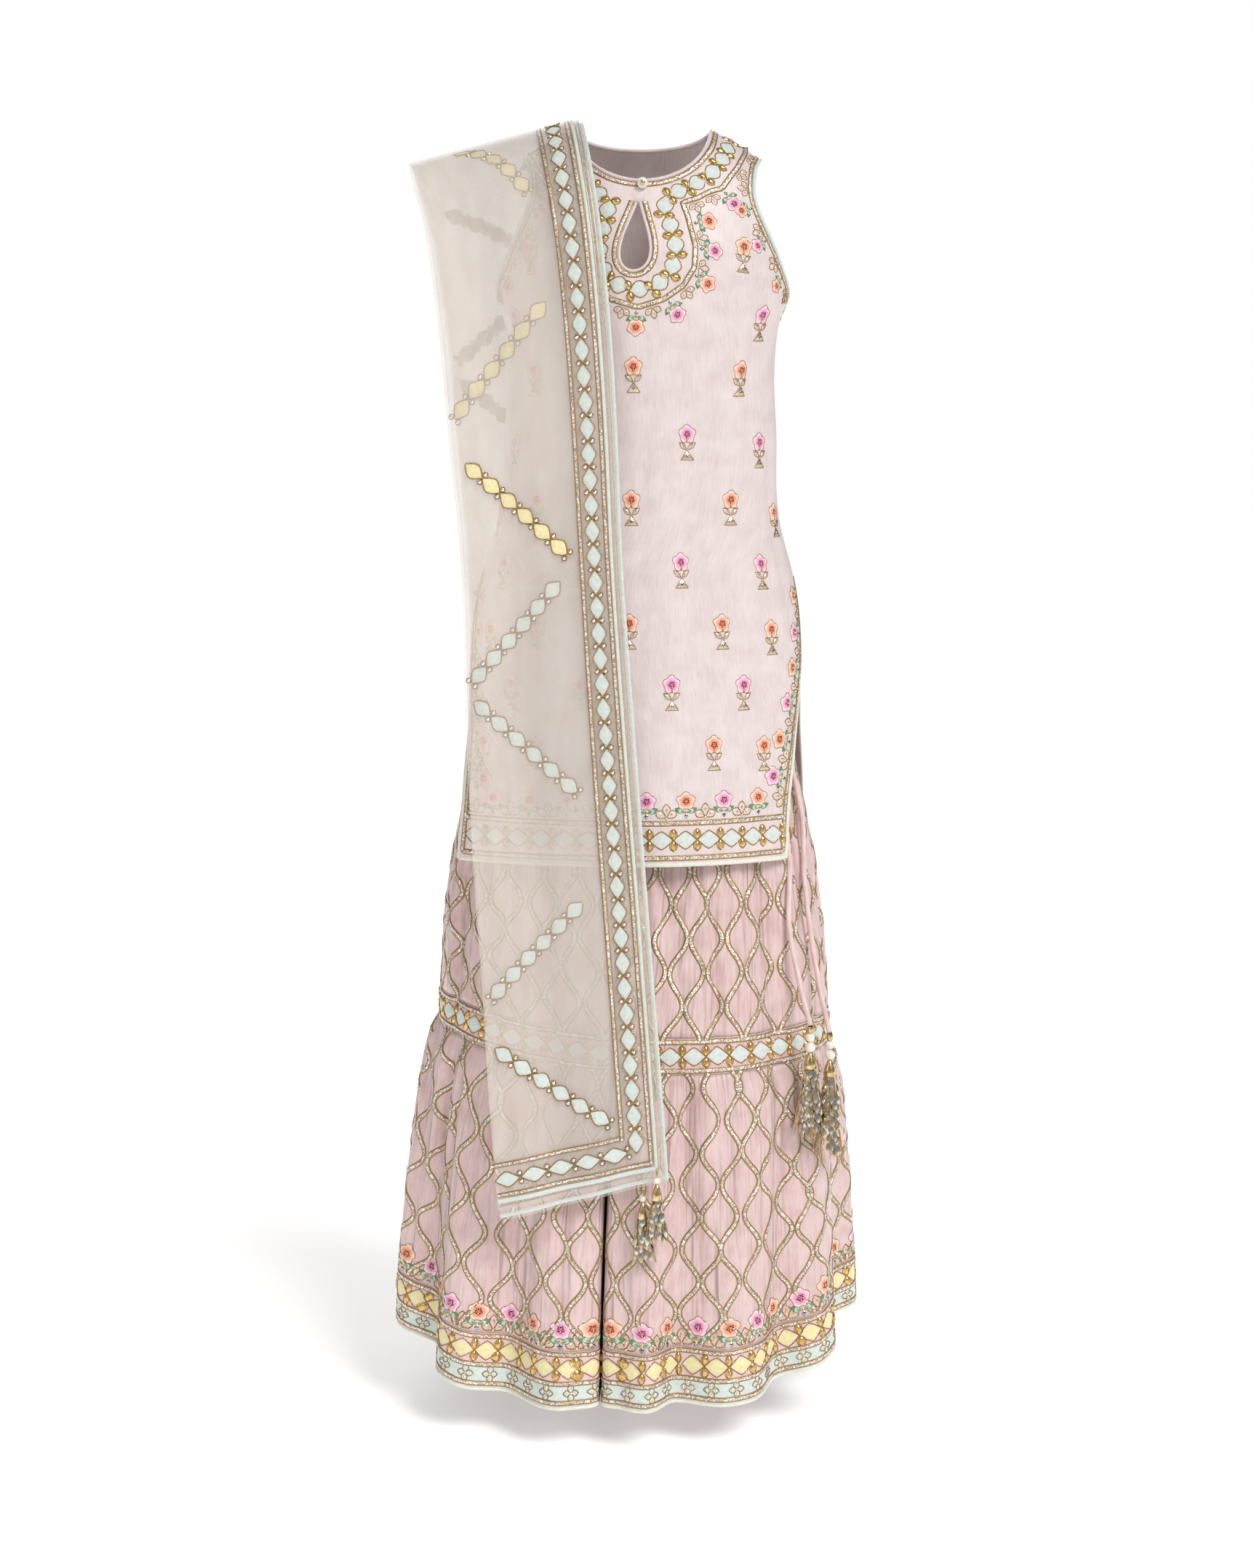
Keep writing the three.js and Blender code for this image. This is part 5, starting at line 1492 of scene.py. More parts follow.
PINK = [(0.12, "#CC4A84"), (0.42, "#E27FAE"), (0.72, "#EFAACB"), (0.97, "#F8D8E6")]
ORANGE = [(0.12, "#DC5430"), (0.42, "#EC8560"), (0.72, "#F4AC8F"), (0.97, "#FBDCCB")]
GREEN = [(0.25, "#57785A"), (0.52, "#7C9A78"), (0.68, "#D8E4D0"), (0.8, "#688A66"), (1.0, "#5C7E5E")]
# each kind of needlework's finish, and the slot that it belongs to
KINDS = {
    "line": (sequin_line, "gold_thread"),
    "cord": (gold_cord, "gold_thread"),
    "oval": (antique_gold, "embroidery"),
    "mirror": (metal("dull leaf mirror", "#7E868A", "#C3C6C4", 0.16, 8.33), "mirror_work"),
    "seed": (metal("pale gold seed beads", "#C9B087", "#F4E8CF", 0.36, 1.111), "embroidery"),
    "glint": (metal("white gold sequin", "#E9DFC9", "#FFFDF6", 0.2, 2.0), "embroidery"),
    "mint": (mint_cloth, "mint_trim"),
    "yellow": (plain_cloth("yellow cotton silk", "#F1E8B8", "#E6DA9E"), "mint_trim"),
    "pink": (floss("pink silk floss", PINK), "embroidery"),
    "orange": (floss("orange silk floss", ORANGE), "embroidery"),
    "leaf": (floss("green silk floss", GREEN), "embroidery"),
    "cream": (cream_cloth, "embroidery"),
}


# %% Flat parts
def halves(quads):
    return np.concatenate([quads[:, [0, 1, 2]], quads[:, [0, 2, 3]]])


def blade(kind, length, half, power=1.35, dome=0.9, rows=6, base=-0.1):
    """A leaf from y = 0 to its length: half width = half · (1 − |2t − 1| to the power)."""
    t, s = np.linspace(0, 1, rows)[:, None], np.linspace(-1, 1, 4)[None]
    full = 1 - np.abs(2 * t - 1) ** power
    x = half * np.maximum(full, 0.03) * s
    h = base + dome * (1 - s**2) ** 0.5 * np.minimum(full * 1.6, 1)
    y, tint = length * t + 0 * s, np.maximum(t, np.abs(s) * 0.8)
    return kind, np.stack([x, y, h, tint], -1).reshape(-1, 4), halves(grid_faces(rows, 4, flip=True))


def ring(kind, x, y, width=1.0, high=0.9):
    """A thin cord along a closed outline: its crown stands on the outline, its feet on both sides."""
    dx, dy = np.roll(x, -1) - np.roll(x, 1), np.roll(y, -1) - np.roll(y, 1)
    size = np.maximum(np.hypot(dx, dy), 1e-6)
    s = np.array([-0.5, 0, 0.5])[None] * width
    rows = [x[:, None] + (dy / size)[:, None] * s, y[:, None] - (dx / size)[:, None] * s]
    h = np.broadcast_to(np.array([-0.1, high, -0.1])[None], rows[0].shape)
    n = len(x)
    quads = grid_faces(n + 1, 3) % (3 * n)
    return kind, np.stack([*rows, h, h * 0], -1).reshape(-1, 4), halves(quads)


def loop(kind, length, half, power=1.35, width=1.0, count=7, high=0.9, tear=0.0):
    """The outline of a blade. Where tear is over 0, its widest place moves out towards the end."""
    t = np.linspace(0.02, 0.98, count)
    wide = half * (1 - np.abs(2 * t ** (1 + tear) - 1) ** power)
    return ring(kind, np.r_[wide, -wide[::-1]], length * np.r_[t, t[::-1]], width, high)


def disc(kind, radius, dome=1.0, sides=8):
    turn = 2 * np.pi * np.arange(sides) / sides
    rows = [(radius, -0.1), (0.7 * radius, 0.75 * dome)]
    points = [[r * np.cos(t), r * np.sin(t), h, 0.5] for r, h in rows for t in turn] + [[0, 0, dome, 0.5]]
    k = np.arange(sides)
    fan = np.stack([sides + k, sides + (k + 1) % sides, np.full(sides, 2 * sides)], -1)
    return kind, np.array(points), np.concatenate([halves(grid_faces(2, sides, True, flip=True)), fan])


def bloom(kind, rx, ry, petals=5, each=5):
    """A round flower: its radius dips between petals, and it is highest halfway out."""
    turn = np.pi / 2 + 2 * np.pi * np.arange(petals * each) / (petals * each)
    lobe_size = 0.68 + 0.32 * np.abs(np.cos(petals / 2 * (turn - np.pi / 2))) ** 0.75
    rho = np.array([0.3, 0.65, 1.0])[:, None]
    reach = rho * lobe_size[None]
    h = -0.1 + 1.3 * np.sin(np.pi * rho) ** 0.7 * lobe_size[None] ** 3 + 0.3 * (1 - rho)
    tint = rho * lobe_size[None] ** 0.7
    sheet = np.stack([rx * reach * np.cos(turn), ry * reach * np.sin(turn), h, tint], -1).reshape(-1, 4)
    n = petals * each
    k = np.arange(n)
    fan = np.stack([k, (k + 1) % n, np.full(n, 3 * n)], -1)
    faces = np.concatenate([halves(grid_faces(3, n, True)[:, ::-1]), fan])
    edge_x, edge_y = rx * lobe_size * np.cos(turn), ry * lobe_size * np.sin(turn)
    return [(kind, np.r_[sheet, [[0, 0, 0.9, 0]]], faces), ring("cord", edge_x, edge_y, 0.8, 0.7)]


def facet(kind, corners, high=0.8):
    """A flat stone or patch: its corners on the cloth, and a raised middle."""
    corners = np.array(corners, float)
    n, k = len(corners), np.arange(len(corners))
    middle = corners.mean(0)
    inner = middle + (corners - middle) * 0.72
    points = np.r_[np.c_[corners, np.full(n, -0.1)], np.c_[inner, np.full(n, high)], [[*middle, high]]]
    sides = np.stack([k, (k + 1) % n, (k + 1) % n + n, k + n], -1)
    fan = np.stack([n + k, n + (k + 1) % n, np.full(n, 2 * n)], -1)
    return kind, np.c_[points, np.full(2 * n + 1, 0.5)], np.concatenate([halves(sides), fan])


def put(parts, x=0.0, y=0.0, degrees=0.0):
    """The same parts, turned and moved in the motif's own plane."""
    parts = parts if isinstance(parts, list) else [parts]
    c, s = np.cos(np.radians(degrees)), np.sin(np.radians(degrees))
    spin = np.array([[c, s], [-s, c]])
    return [(kind, np.c_[p[:, :2] @ spin + [x, y], p[:, 2:]], faces) for kind, p, faces in parts]


# %% Motifs
def spray(kind):
    """A border flower: a mirror and a gold cup on the line, two striped leaves and the bloom."""
    parts = put(facet("mirror", [(0, 0.5), (2.4, 3.4), (0, 6.6), (-2.4, 3.4)]))
    parts += put(facet("oval", [(-1.8, 8.6), (0, 5.2), (1.8, 8.6)]))
    parts += put(blade("leaf", 12.5, 3.7, dome=1.3), 0.6, 6.6, -66)
    parts += put(blade("leaf", 12.5, 3.7, dome=1.3), -0.6, 6.6, 66)
    parts += put(bloom(kind, 10.4, 9.6), 0, 18.6)
    return parts + put(disc("oval", 1.2, 1.9), 0, 16.6) + put(disc("oval", 1.0, 1.8), 0, 19.0)


FOOT_X = np.array([-7.4, -2.5, 2.5, 7.4, 5.0, 2.5, 0.4, -0.4, -2.5, -5.0])
FOOT_Y = np.array([0, 0, 0, 0, 3.5, 7, 10.4, 10.4, 7, 3.5])


def buti(kind):
    """The scattered motif: a gold foot with a mirror, two gold leaves and a flower, 38 mm tall."""
    parts = put(facet("seed", [(-7.4, 0), (7.4, 0), (0, 10.4)], 0.9)) + put(ring("cord", FOOT_X, FOOT_Y))
    parts += put(facet("mirror", [(0, 0.9), (2.7, 5.4), (-2.7, 5.4)], 1.3))
    for turn in (-48, 48):
        side = -np.sign(turn)
        parts += put(loop("cord", 11.5, 2.7, width=0.9), 0.6 * side, 11.4, turn)
        parts += put(blade("seed", 8.5, 1.6), 1.9 * side, 12.6, turn)
    parts += put(bloom(kind, 10.2, 10.8), 0, 28.2)
    for y in (21.0, 23.4, 25.6):
        parts += put(disc("oval", 1.15, 2.0), 0, y)
    return parts


def scallop():
    """Three beaded loops in a fan."""
    parts = put(disc("seed", 1.3, 1.2), 0, 1.4)
    for turn, length in ((-58, 10.5), (0, 12.0), (58, 10.5)):
        parts += put(loop("cord", length, 3.4, 1.8, 1.1, 6, tear=0.35), 0, 1.5, turn)
        side, up = -np.sin(np.radians(turn)), np.cos(np.radians(turn))
        parts += put(blade("seed", length * 0.5, 1.2, 1.8, rows=4), 3.3 * side, 1.5 + 3.3 * up, turn)
    return parts


def quatrefoil():
    """Four beaded loops in a cross, longer along the border than across it."""
    parts = put(disc("glint", 1.3, 1.0))
    for turn in (0, 90, 180, 270):
        long = 10.4 if turn % 180 == 0 else 9.0
        side, up = -np.sin(np.radians(turn)), np.cos(np.radians(turn))
        parts += put(loop("cord", long, 3.5, 1.8, 1.4, 6), 0.0, 0.0, turn)
        parts += put(disc("glint", 1.4, 1.0, 6), 5.6 * side, 5.6 * up)
    return parts


def link(kind, pitch, half, bead, power=1.3):
    """One link of a chain: a cloth lozenge in a gold cord, and a pair of beads where cords cross."""
    long = pitch * 0.98
    parts = put(blade(kind, pitch * 0.93, half - 0.7, power, 0.7, 8), 0, -pitch * 0.465)
    parts += put(loop("cord", long, half, power, 1.5, 9, 1.0), 0, -long / 2)
    for turn in (-90, 90):
        side = -np.sign(turn)
        if bead == "oval":
            parts += put(blade("oval", half + 1.0, 3.7, 2.8, 2.2), 0.9 * side, pitch / 2, turn)
            parts += put(loop("cord", half + 2.2, 4.5, 2.6, 1.0, 6, 0.9), 0.3 * side, pitch / 2, turn)
        else:
            parts += put(disc("glint", 2.3, 1.5), 4.9 * side, pitch / 2)
            parts += put(loop("cord", 6.4, 3.2, 2.2, 1.0, 5, 0.9), 1.7 * side, pitch / 2, turn)
    return parts


# %% Sewing motifs on
work = {}


def heap_of(region, kind):
    return work.setdefault((region, kind), Heap())


def sew(region, cloth, a, b, motif, turn=0.0, skin=0.6, size=1.0):
    """Puts the motif at every (a, b), turned, and drapes each of its points on the cloth."""
    a, b = np.atleast_1d(a).astype(float)[:, None], np.atleast_1d(b).astype(float)[:, None]
    turn = np.broadcast_to(np.asarray(turn, float).reshape(-1, 1), a.shape)
    c, s = np.cos(turn) * size, np.sin(turn) * size
    for kind, p, faces in motif:
        x, y = c * p[:, 0] - s * p[:, 1], s * p[:, 0] + c * p[:, 1]
        a2, b2 = cloth.moved(a, b, x, y)
        placed = cloth.lifted(a2, b2, skin + p[None, :, 2])
        n, m = len(a), len(p)
        copies = (faces[None] + np.arange(n)[:, None, None] * m).reshape(-1, 3)
        copies = copies if cloth.side > 0 else copies[:, ::-1]
        uv = p[None, :, :2] * MM + np.arange(n)[:, None, None] * 0.037
        heap_of(region, kind).add(placed, copies, uv, np.broadcast_to(p[None, :, 3], (n, m)))


def path_turn(cloth, a, b):
    """The way a path runs, in the plane of the cloth, as an angle from the across direction."""
    x, y = cloth.heading(a, b)
    return np.unwrap(np.arctan2(y, x))


def beside(cloth, a, b, off):
    """The path moved to its left by so many millimetres."""
    turn = path_turn(cloth, a, b)
    return cloth.moved(a, b, -np.sin(turn) * off, np.cos(turn) * off)


def along(cloth, a, b, pitch, first=0.5):
    """Places about every pitch on a path, the way that it runs there, and the exact pitch."""
    a, b, gone = even_path(cloth, a, b, 3.0)
    turn = path_turn(cloth, a, b)
    count = max(1, round(gone[-1] / pitch))
    want = (np.arange(count) + first) * gone[-1] / count
    return [np.interp(want, gone, column) for column in (a, b, turn)] + [gone[-1] / count]


def chain(region, cloth, a, b, kind, size, bead="oval", skin=0.6, power=1.3):
    """Links of that pitch and half width, one after another along a path."""
    pitch, half = size
    a, b, turn, pitch = along(cloth, a, b, pitch)
    sew(region, cloth, a, b, link(kind, pitch, half, bead, power), turn - np.pi / 2, skin)


def garland(region, cloth, a, b, pitch, skin=0.6, size=1.1):
    """Flowers and scallops in turn to the left of a path, pink and orange by turns."""
    for index, motif in enumerate((spray("pink"), spray("orange"))):
        u, v, turn, _ = along(cloth, a, b, 2 * pitch, 0.25 + 0.5 * index)
        sew(region, cloth, u, v, motif, turn, skin, size)
        u, v, turn, _ = along(cloth, a, b, 2 * pitch, 0.5 * (1 - index))
        sew(region, cloth, u, v, scallop(), turn, skin, 1.2 * size)


def line(region, cloth, a, b, width=7.0, off=0.0, skin=0.6, spacing=4.0):
    a, b, _ = even_path(cloth, a, b, spacing)
    section = [(x + off, h + skin, u) for x, h, u in flat_line(width)]
    lay_line(heap_of(region, "line"), cloth, a, b, section)


# %% [markdown]
# ## Needlework of the tunic
# The yoke is outlined by a sequin line, filled with a chain of mint lozenges and ringed by flowers and
# scallops. The hem has a chain between two lines, the slits a line with flowers, and small bouquets are
# scattered over the rest. What the shawl hides is taken as the mirror image, and the back is simpler.

# %% Tunic needlework
YOKE_LINE = [(38.1, 12), (37.9, 0), (35.3, -24.4), (29.3, -58.1), (20.3, -73.2), (14.3, -79), (16.2, -92),
             (17.5, -104.6), (19.9, -127.2), (19.7, -149.3), (15.5, -169.1), (8.3, -183.6), (-1.0, -191.8)]
YOKE_CHAIN = [(32.6, 14), (31.7, 3), (29.7, -19.2), (25.3, -43.6), (19.5, -56.9), (12.4, -66.8), (8.0, -81),
              (10.0, -102.3), (12.3, -126.1), (11.3, -149.3), (5.9, -167.6), (-2.0, -173.6)]
YOKE_SPRAYS = [("pink", 36.1, -65.1), ("orange", 27.1, -97.6), ("pink", 31.3, -128.4),
               ("orange", 27.5, -170.2), ("pink", 15.5, -203.9), ("orange", -3.1, -220.8)]
YOKE_SCALLOPS = [(40.5, -4.6), (36.0, -30), (26.9, -76.1), (20.3, -86.6), (22.7, -116.8), (23.9, -149.3),
                 (17.3, -176.1), (4.5, -199.3)]
ARM_SPRAYS = [("orange", 40.9, -72), ("pink", 46.7, -116.2), ("orange", 62, -165)]
ARM_SCALLOPS = [(44.1, -43.6), (48.5, -92), (56.7, -140), (70.1, -189.4)]
BUTIS = [("orange", 41.1, -134), ("pink", 58.5, -210.3), ("orange", -3.3, -266.7), ("orange", 45.5, -270.8),
         ("pink", 19.7, -340.5), ("pink", 59.1, -349.8), ("orange", -2.9, -412), ("orange", 39.7, -412.6),
         ("orange", 72.3, -427.7), ("pink", 15.9, -480.6), ("pink", 51.3, -484.1), ("orange", -2.3, -547.4),
         ("orange", 30.1, -548.6), ("orange", 53.5, -557.3), ("pink", 12.3, -614.8), ("pink", 39.5, -617.1),
         ("orange", -2.6, -682.2), ("orange", 26.9, -682.2), ("orange", 48.5, -686.3)]
YOKE_MIDDLE, BUTI_MIDDLE = -4, -6


def both_halves(rows, middle):
    """A path's left half, and its mirror image back up, as angles and levels."""
    rows = np.array(rows, float)
    other = np.c_[middle - rows[::-1, 0], rows[::-1, 1]]
    rows = np.r_[rows, other]
    return np.radians(rows[:, 0]), rows[:, 1]


def nearest(cloth, path, spots):
    """The path's places nearest to each spot, and the way that it runs there."""
    a, b, _ = even_path(cloth, *path, 2.0)
    turn = path_turn(cloth, a, b)
    spots = np.array(spots, float)
    away = cloth.at(a, b)[None] - cloth.at(np.radians(spots[:, 0]), spots[:, 1])[:, None]
    best = np.linalg.norm(away, axis=-1).argmin(1)
    return a[best], b[best], turn[best]


def mirrored(spots, middle):
    return [(*spot[:-2], middle - spot[-2], spot[-1]) for spot in spots]


def ring_flowers(path, sprays, scallops, off, size=1.0):
    """Flowers and scallops that stand off a line, each rooted at the line's nearest place."""
    for kind in ("pink", "orange"):
        spots = [spot[1:] for spot in sprays if spot[0] == kind]
        a, b, turn = nearest(front, path, spots)
        a, b = front.moved(a, b, -np.sin(turn) * off, np.cos(turn) * off)
        sew("tunic", front, a, b, spray(kind), turn, size=size)
    a, b, turn = nearest(front, path, scallops)
    a, b = front.moved(a, b, -np.sin(turn) * off, np.cos(turn) * off)
    sew("tunic", front, a, b, scallop(), turn)


# widths of the lines, and pitch and half width of the links of a chain
LINE, ARM_LINE, KEY_LINE = 6.6, 5.2, 6.4
YOKE_LINK, HEM_LINK = (24.0, 9.4), (28.0, 10.2)
# levels of the hem's chain, its line and the flowers' path
CHAIN_LEVEL, LINE_LEVEL, FLOWER_LEVEL = TUNIC_HEM + 30.0, TUNIC_HEM + 49.0, TUNIC_HEM + 53.0
front, back = tunic[FRONT], tunic[BACK]
yoke_path = both_halves(YOKE_LINE, YOKE_MIDDLE)
line("tunic", front, *yoke_path, LINE)
chain("tunic", front, *both_halves(YOKE_CHAIN, YOKE_MIDDLE), "mint", YOKE_LINK, power=1.75)
yoke_sprays = YOKE_SPRAYS + mirrored(YOKE_SPRAYS[:-1], YOKE_MIDDLE)
ring_flowers(yoke_path, yoke_sprays, YOKE_SCALLOPS + mirrored(YOKE_SCALLOPS, YOKE_MIDDLE), 3.6)
line("tunic", front, key_a, key_z, KEY_LINE, 5.2)
for face in (FRONT, BACK):
    cloth = tunic[face]
    line("tunic", cloth, *[column[1:-1] for column in neck_line(face)], LINE, 5.6)
    for side in (LEFT, RIGHT):
        path = [column[2:-2][::side] for column in arm_line(side, face)]
        line("tunic", cloth, *path, ARM_LINE, 5.0)
        if face == FRONT:
            sprays = ARM_SPRAYS if side == LEFT else mirrored(ARM_SPRAYS, 0)
            scallops = ARM_SCALLOPS if side == LEFT else mirrored(ARM_SCALLOPS, 0)
            ring_flowers(path, sprays, scallops, 7.0, 0.78)
        else:
            garland("tunic", cloth, *beside(cloth, *path, 8.0), 32)
    line("tunic", cloth, *edge_path(face, 10), LINE)
    edge = side_angle(np.array([LINE_LEVEL]), face)[0] - 0.06
    across = np.linspace(-edge, edge, 200)
    line("tunic", cloth, across, np.full(200, LINE_LEVEL), LINE)
    chain("tunic", cloth, across * 0.985, np.full(200, CHAIN_LEVEL), "mint", HEM_LINK)
    garland("tunic", cloth, across * 0.93, np.full(200, FLOWER_LEVEL), 40)
    for side in (LEFT, RIGHT):
        level = np.linspace(TUNIC_HEM + 70, SLIT_TOP - 6, 120)
        path = (side * (side_angle(level, face) - 13 / tunic_half(np.sqrt(SEAM_TOP - level))), level)
        garland("tunic", cloth, *[column[::side] for column in path], 40)

# %% Scattered bouquets, and the neck of the back
# a bouquet is noted by its middle, 17 mm above its foot
BUTI_FOOT = 17
EXTRA_BACK = {"pink": (9, -205), "orange": (0, -134)}
for kind in ("pink", "orange"):
    spots = [spot for spot in BUTIS if spot[0] == kind]
    spots = np.array([spot[1:] for spot in spots + mirrored([s for s in spots if s[1] > 0], BUTI_MIDDLE)])
    sew("tunic", front, np.radians(spots[:, 0]), spots[:, 1] - BUTI_FOOT, buti(kind))
    rows = [(a + 3 if abs(a + 3) < 78 else a, z) for a, z in spots.tolist()]
    rows = np.array(rows + [EXTRA_BACK[kind]])
    sew("tunic", back, np.radians(rows[:, 0]), rows[:, 1] - BUTI_FOOT, buti(kind))
a, b = neck_line(BACK)
chain("tunic", back, *beside(back, a[3:-3], b[3:-3], 19.0), "mint", YOKE_LINK, power=1.75)
line("tunic", back, *beside(back, a[3:-3], b[3:-3], 33.0), LINE)
garland("tunic", back, *beside(back, a[14:-14], b[14:-14], 37.0), 34)
print("parts of needlework so far:", len(work))

# %% [markdown]
# ## Lattice of the trousers
# The tiers carry an ogee net of sequin lines. Every second line swings to the left where its neighbours
# swing to the right, so that they touch and part again every 36 mm. Each line is a cosine of the level,
# added to an even share of the leg's girth.

# %% Lattice and borders of the trousers
REPEAT, LATTICE_WIDE = 72.0, 6.8


def lattice(side, word, spacing, top, low):
    """Lines that swing in pairs, with a slow uneven drift that is calmer where the tier is drawn in."""
    around = girth(side, low)
    count = 2 * round(around / spacing / 2)
    swing = (around / count - 0.75 * LATTICE_WIDE) / 2
    levels = np.linspace(top, low, 200)
    drawn_in = 0.25 + 0.75 * smooth((levels - low) / (top - low) * 1.6)
    for k in range(count):
        wave = (-1) ** k * swing * np.cos(2 * np.pi * (levels - low) / REPEAT) / around
        share = (k + 0.5) / count
        drift = np.sin(2 * np.pi * (6 * share + levels / 410))
        drift = drift + np.sin(2 * np.pi * (11 * share - levels / 530))
        drift = (drift + 0.8 * np.sin(2 * np.pi * (17 * share + levels / 350) + 1)) * drawn_in
        share = clamp(share + wave + 0.13 * drift / count, 0.006, 0.994)
        line(f"lattice_{word}", leg[side], share, levels, LATTICE_WIDE, spacing=5.0)


# line width, links of the bands and flowers, and how far each cloth's face is from its middle
BORDER_LINE, BAND_LINK, BORDER_LINK = 6.2, (27, 10.4), (28.5, 11.0)
BAND_SKIN, BORDER_SKIN = 0.7, 0.9
BORDER_TOP, BORDER_LOW = HEM_TOP - 3.5, HEM_LOW + 8.0


def round_leg(level, count=900):
    """A path once round a leg at a level."""
    return np.linspace(0.0005, 0.9995, count), np.full(count, level)


for side, word in SIDES:
    lattice(side, f"upper_{word}", 25, -560, TIER_TOP - 4)
    lattice(side, f"lower_{word}", 28, TIER_LOW + 1.5, HEM_TOP + 3)
    cloth, region = leg[side], f"trousers_{word}"
    for level in (TIER_TOP - 4.5, TIER_LOW + 4.5):
        line(region, cloth, *round_leg(level), BORDER_LINE, skin=BAND_SKIN)
    for level in (BORDER_TOP, HEM_SPLIT, BORDER_LOW):
        line(region, cloth, *round_leg(level), BORDER_LINE, skin=BORDER_SKIN)
    chain(region, cloth, *round_leg((TIER_TOP + TIER_LOW) / 2), "mint", BAND_LINK, skin=BAND_SKIN)
    chain(region, cloth, *round_leg((BORDER_TOP + HEM_SPLIT) / 2), "yellow", BORDER_LINK, skin=BORDER_SKIN)
    garland(region, cloth, *round_leg(HEM_TOP + 1.0), 38, skin=BAND_SKIN, size=1.25)
    u, v, turn, _ = along(cloth, *round_leg((HEM_SPLIT + BORDER_LOW) / 2), BORDER_LINK[0])
    sew(region, cloth, u, v, quatrefoil(), turn, BORDER_SKIN)
    hem = [(x, h + BORDER_SKIN, u) for x, h, u in cord_section(3.4, 1.0)]
    path = even_path(cloth, *round_leg(HEM_LOW + 1.8), 5.0)[:2]
    lay_line(heap_of(region, "cream"), cloth, *path, hem)
print("parts of needlework so far:", len(work))

# %% [markdown]
# ## Border and zigzags of the shawl
# The net has a mint hem, and inside it a chain of mint lozenges between two sequin lines, which turns the
# corner at both ends. Zigzags of yellow and mint lozenges cross the net: some are on the outer layer,
# and some show through it from a lower one.

# %% Shawl needlework
# points along a path that runs the whole strip, and along one that crosses it
LONG, CROSS = 500, 60
# layer, colour, across and step where a zigzag starts, and where it ends
ZIGZAGS = [
    (0, "yellow", 16, 5.763, 133, 5.092), (1, "mint", 122, 4.907, 8, 4.227),
    (1, "mint", 10, 4.112, 128, 3.507), (1, "mint", 124.5, 2.671, 9, 1.796),
    (0, "mint", 10, 1.371, 138, 0.65), (2, "yellow", 128, 7.243, 8, 6.128),
    (2, "yellow", 50, 10.9, 124, 8.6), (0, "yellow", 20, 13.4, 134, 14.3),
    (1, "mint", 128, 14.5, 10, 15.3), (1, "mint", 10, 15.5, 130, 16.3),
    (0, "yellow", 132, 16.5, 12, 17.3), (2, "yellow", 10, 17.5, 130, 18.2),
    (1, "mint", 130, 18.4, 10, 19.3), (0, "mint", 12, 19.6, 136, 20.8),
]
outer, inner = shawl_layer(0, 0.1), shawl_layer(3, 0.1)


def hem_strip(cloth, a, b, wide=9.0):
    """A narrow turned hem: flat, with its two edges rounded down to the net."""
    a, b, _ = even_path(cloth, a, b, 6.0)
    w = wide / 2
    section = [(-w, 0.05, 0), (-w + 0.5, 0.35, 0.0008), (w - 0.5, 0.35, wide * MM), (w, 0.05, wide * MM)]
    lay_line(heap_of("shawl", "mint"), cloth, a, b, section)


def level_path(cloth, first, last, start, off):
    """A path across the strip, so many millimetres in from the step where a layer starts or ends."""
    return beside(cloth, np.linspace(first, last, CROSS), np.full(CROSS, start), off)


SHAWL_LINE, SHAWL_LINK, ZIGZAG_LINK = 5.6, (28, 8.8), (26, 9.0)
# the outer layer is a little shorter than the lower ones, so its borders start and end within it
outer_start, outer_end = 0.14, LAST_STEP - 0.14


def long_path(across, inset):
    """A path along the outer layer, so far across, and that share of a step in from its two ends."""
    return np.full(LONG, across), np.linspace(outer_start + inset, outer_end - inset, LONG)


for across, inset in ((183.0, 0.075), (150.5, 0.335)):
    line("shawl", outer, *long_path(across, inset), SHAWL_LINE, skin=0.0, spacing=5.0)
chain("shawl", outer, *long_path(166.5, 0.19), "mint", SHAWL_LINK, "round", 0.0)
hem_strip(outer, *long_path(188.4, 0.02), 3.2)
hem_strip(inner, np.full(LONG, 198.8), np.linspace(0.01, LAST_STEP - 0.01, LONG), 4.2)
for across in (191.4, 195.4):
    path = even_path(outer, *long_path(across, 0.0), 6.0)[:2]
    lay_line(heap_of("shawl", "seed"), outer, *path, cord_section(0.9, 0.5))
# each layer's first step, how far its end strip runs, and its end lines: how far in and to where
END_BORDERS = ((outer, outer_start, 190, ((9.0, 183), (41.5, 154.0))), (inner, 0.0, 200, ((9.0, 193),)))
for cloth, first, reach, lines in END_BORDERS:
    for step, way in ((first, 1), (LAST_STEP - first, -1)):
        for off, stop in lines:
            line("shawl", cloth, *level_path(cloth, *(2, stop)[::way], step, off), SHAWL_LINE, skin=0.0)
        hem_strip(cloth, *level_path(cloth, *(1, reach)[::way], step, 2.6), 4.4)
        if cloth is outer:
            path = level_path(cloth, *(2, 161)[::way], step, 25)
            chain("shawl", cloth, *path, "mint", SHAWL_LINK, "round", 0.0)
for layer, kind, a1, s1, a2, s2 in ZIGZAGS:
    path = np.linspace(a1, a2, CROSS), np.linspace(s1, s2, CROSS)
    chain("shawl", shawl_layer(layer, 0.1), *path, kind, ZIGZAG_LINK, "round", 0.0, 1.5)

# %% Needlework into pieces
total = 0
for (region, kind), heap in work.items():
    finish, slot = KINDS[kind]
    piece = dress(heap.piece(f"{region}_{kind}_work"), finish, slot)
    total += triangles(piece)
    print(piece.name, triangles(piece))
print("triangles of the needlework:", total)

# %% [markdown]
# ## Floor, light and the end
# A pale floor and soft light, as in a studio for clothes: a wide soft sun from the front right is the
# key, a large panel fills from the left, another lights the back, and a bright plain surround gives
# the pale ground of the photograph.

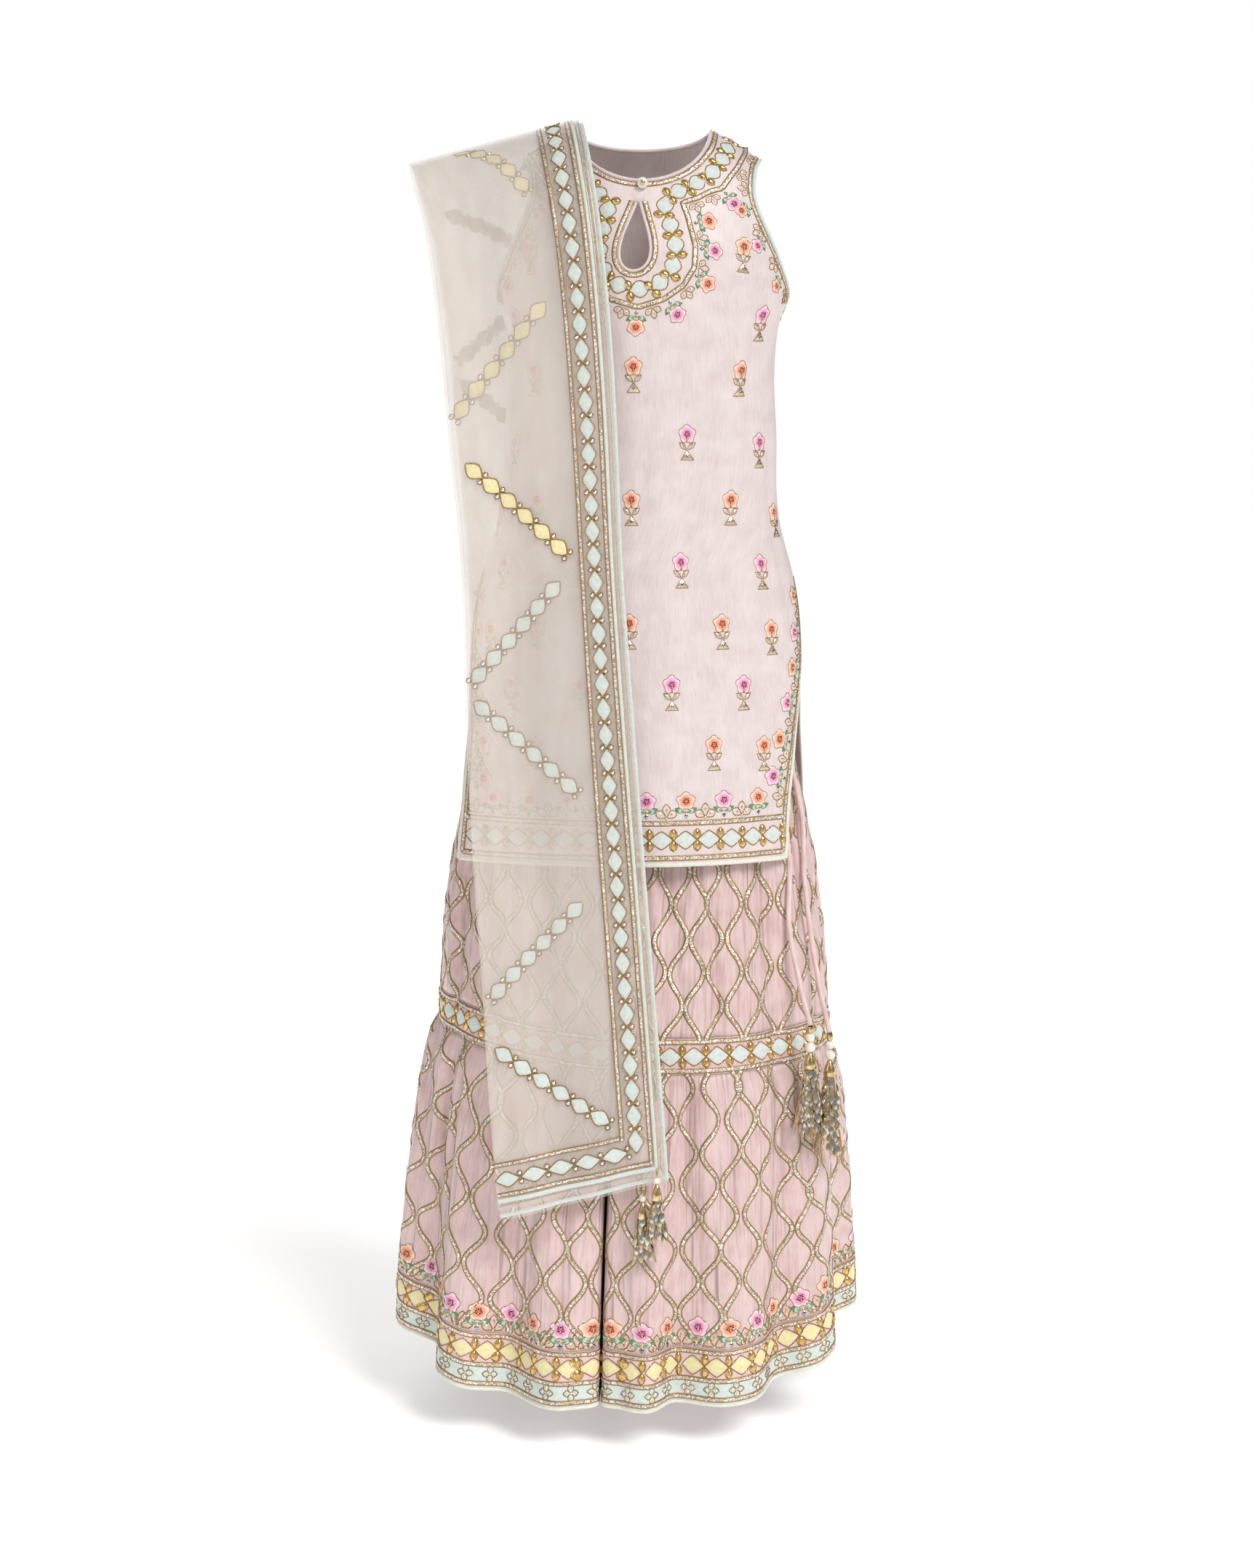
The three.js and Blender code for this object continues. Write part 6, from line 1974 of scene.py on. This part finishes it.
# %% Floor
FLOOR, REACH = -1450, 14.0
floor_mesh = bpy.data.meshes.new("floor")
corners = [(-REACH, -REACH), (REACH, -REACH), (REACH, REACH), (-REACH, REACH)]
floor_mesh.from_pydata([(x, y, FLOOR * MM) for x, y in corners], [], [(0, 1, 2, 3)])
floor = in_scene("floor", floor_mesh)
floor_finish, floor_body, _ = new_finish("pale studio floor", Roughness=1.0, Specular_IOR_Level=0.0)
floor_glow = {"Emission Color": linear("#FFFFFF"), "Emission Strength": 0.34}
connect(floor_body, {"Base Color": linear("#FEFEFE"), **floor_glow})
floor_mesh.materials.append(floor_finish)
print("floor at, mm:", FLOOR)

# %% Light
def panel_light(name, place, aim, size, power, colour=(1.0, 0.985, 0.97)):
    """A square panel that faces its aim."""
    data = bpy.data.lights.new(name, "AREA")
    data.energy, data.size, data.color = power, size, colour
    lamp = in_scene(name, data)
    lamp.location = place
    way = mathutils.Vector(aim) - mathutils.Vector(place)
    lamp.rotation_euler = way.to_track_quat("-Z", "Y").to_euler()


panel_light("fill panel", (-2.4, -2.4, 0.6), (0, 0, -0.7), 1.8, 14)
panel_light("back panel", (-0.8, 3.0, 1.0), (0, 0, -0.6), 2.4, 50)
sun_data = bpy.data.lights.new("high soft light", "SUN")
sun_data.energy, sun_data.angle = 2.1, np.radians(26)
sun = in_scene("high soft light", sun_data)
sun.rotation_euler = (np.radians(44), 0, np.radians(38))

# the surround lights the suit at a quarter of the strength that the camera sees
world = bpy.data.worlds.new("studio surround")
world.use_nodes = True
tree = world.node_tree
surround = tree.nodes["Background"]
connect(surround, {"Color": (1, 1, 1, 1), "Strength": 0.27})
seen = add_node(tree, "Background", {"Color": (1, 1, 1, 1), "Strength": 1.0})
ray = add_node(tree, "LightPath", out="Is Camera Ray")
both = add_node(tree, "MixShader", {0: ray, 1: surround.outputs[0], 2: seen})
connect(tree.nodes["World Output"], {"Surface": both})
bpy.context.scene.world = world
print("lights:", len(bpy.data.lights))

# %% The end
bpy.context.view_layer.update()
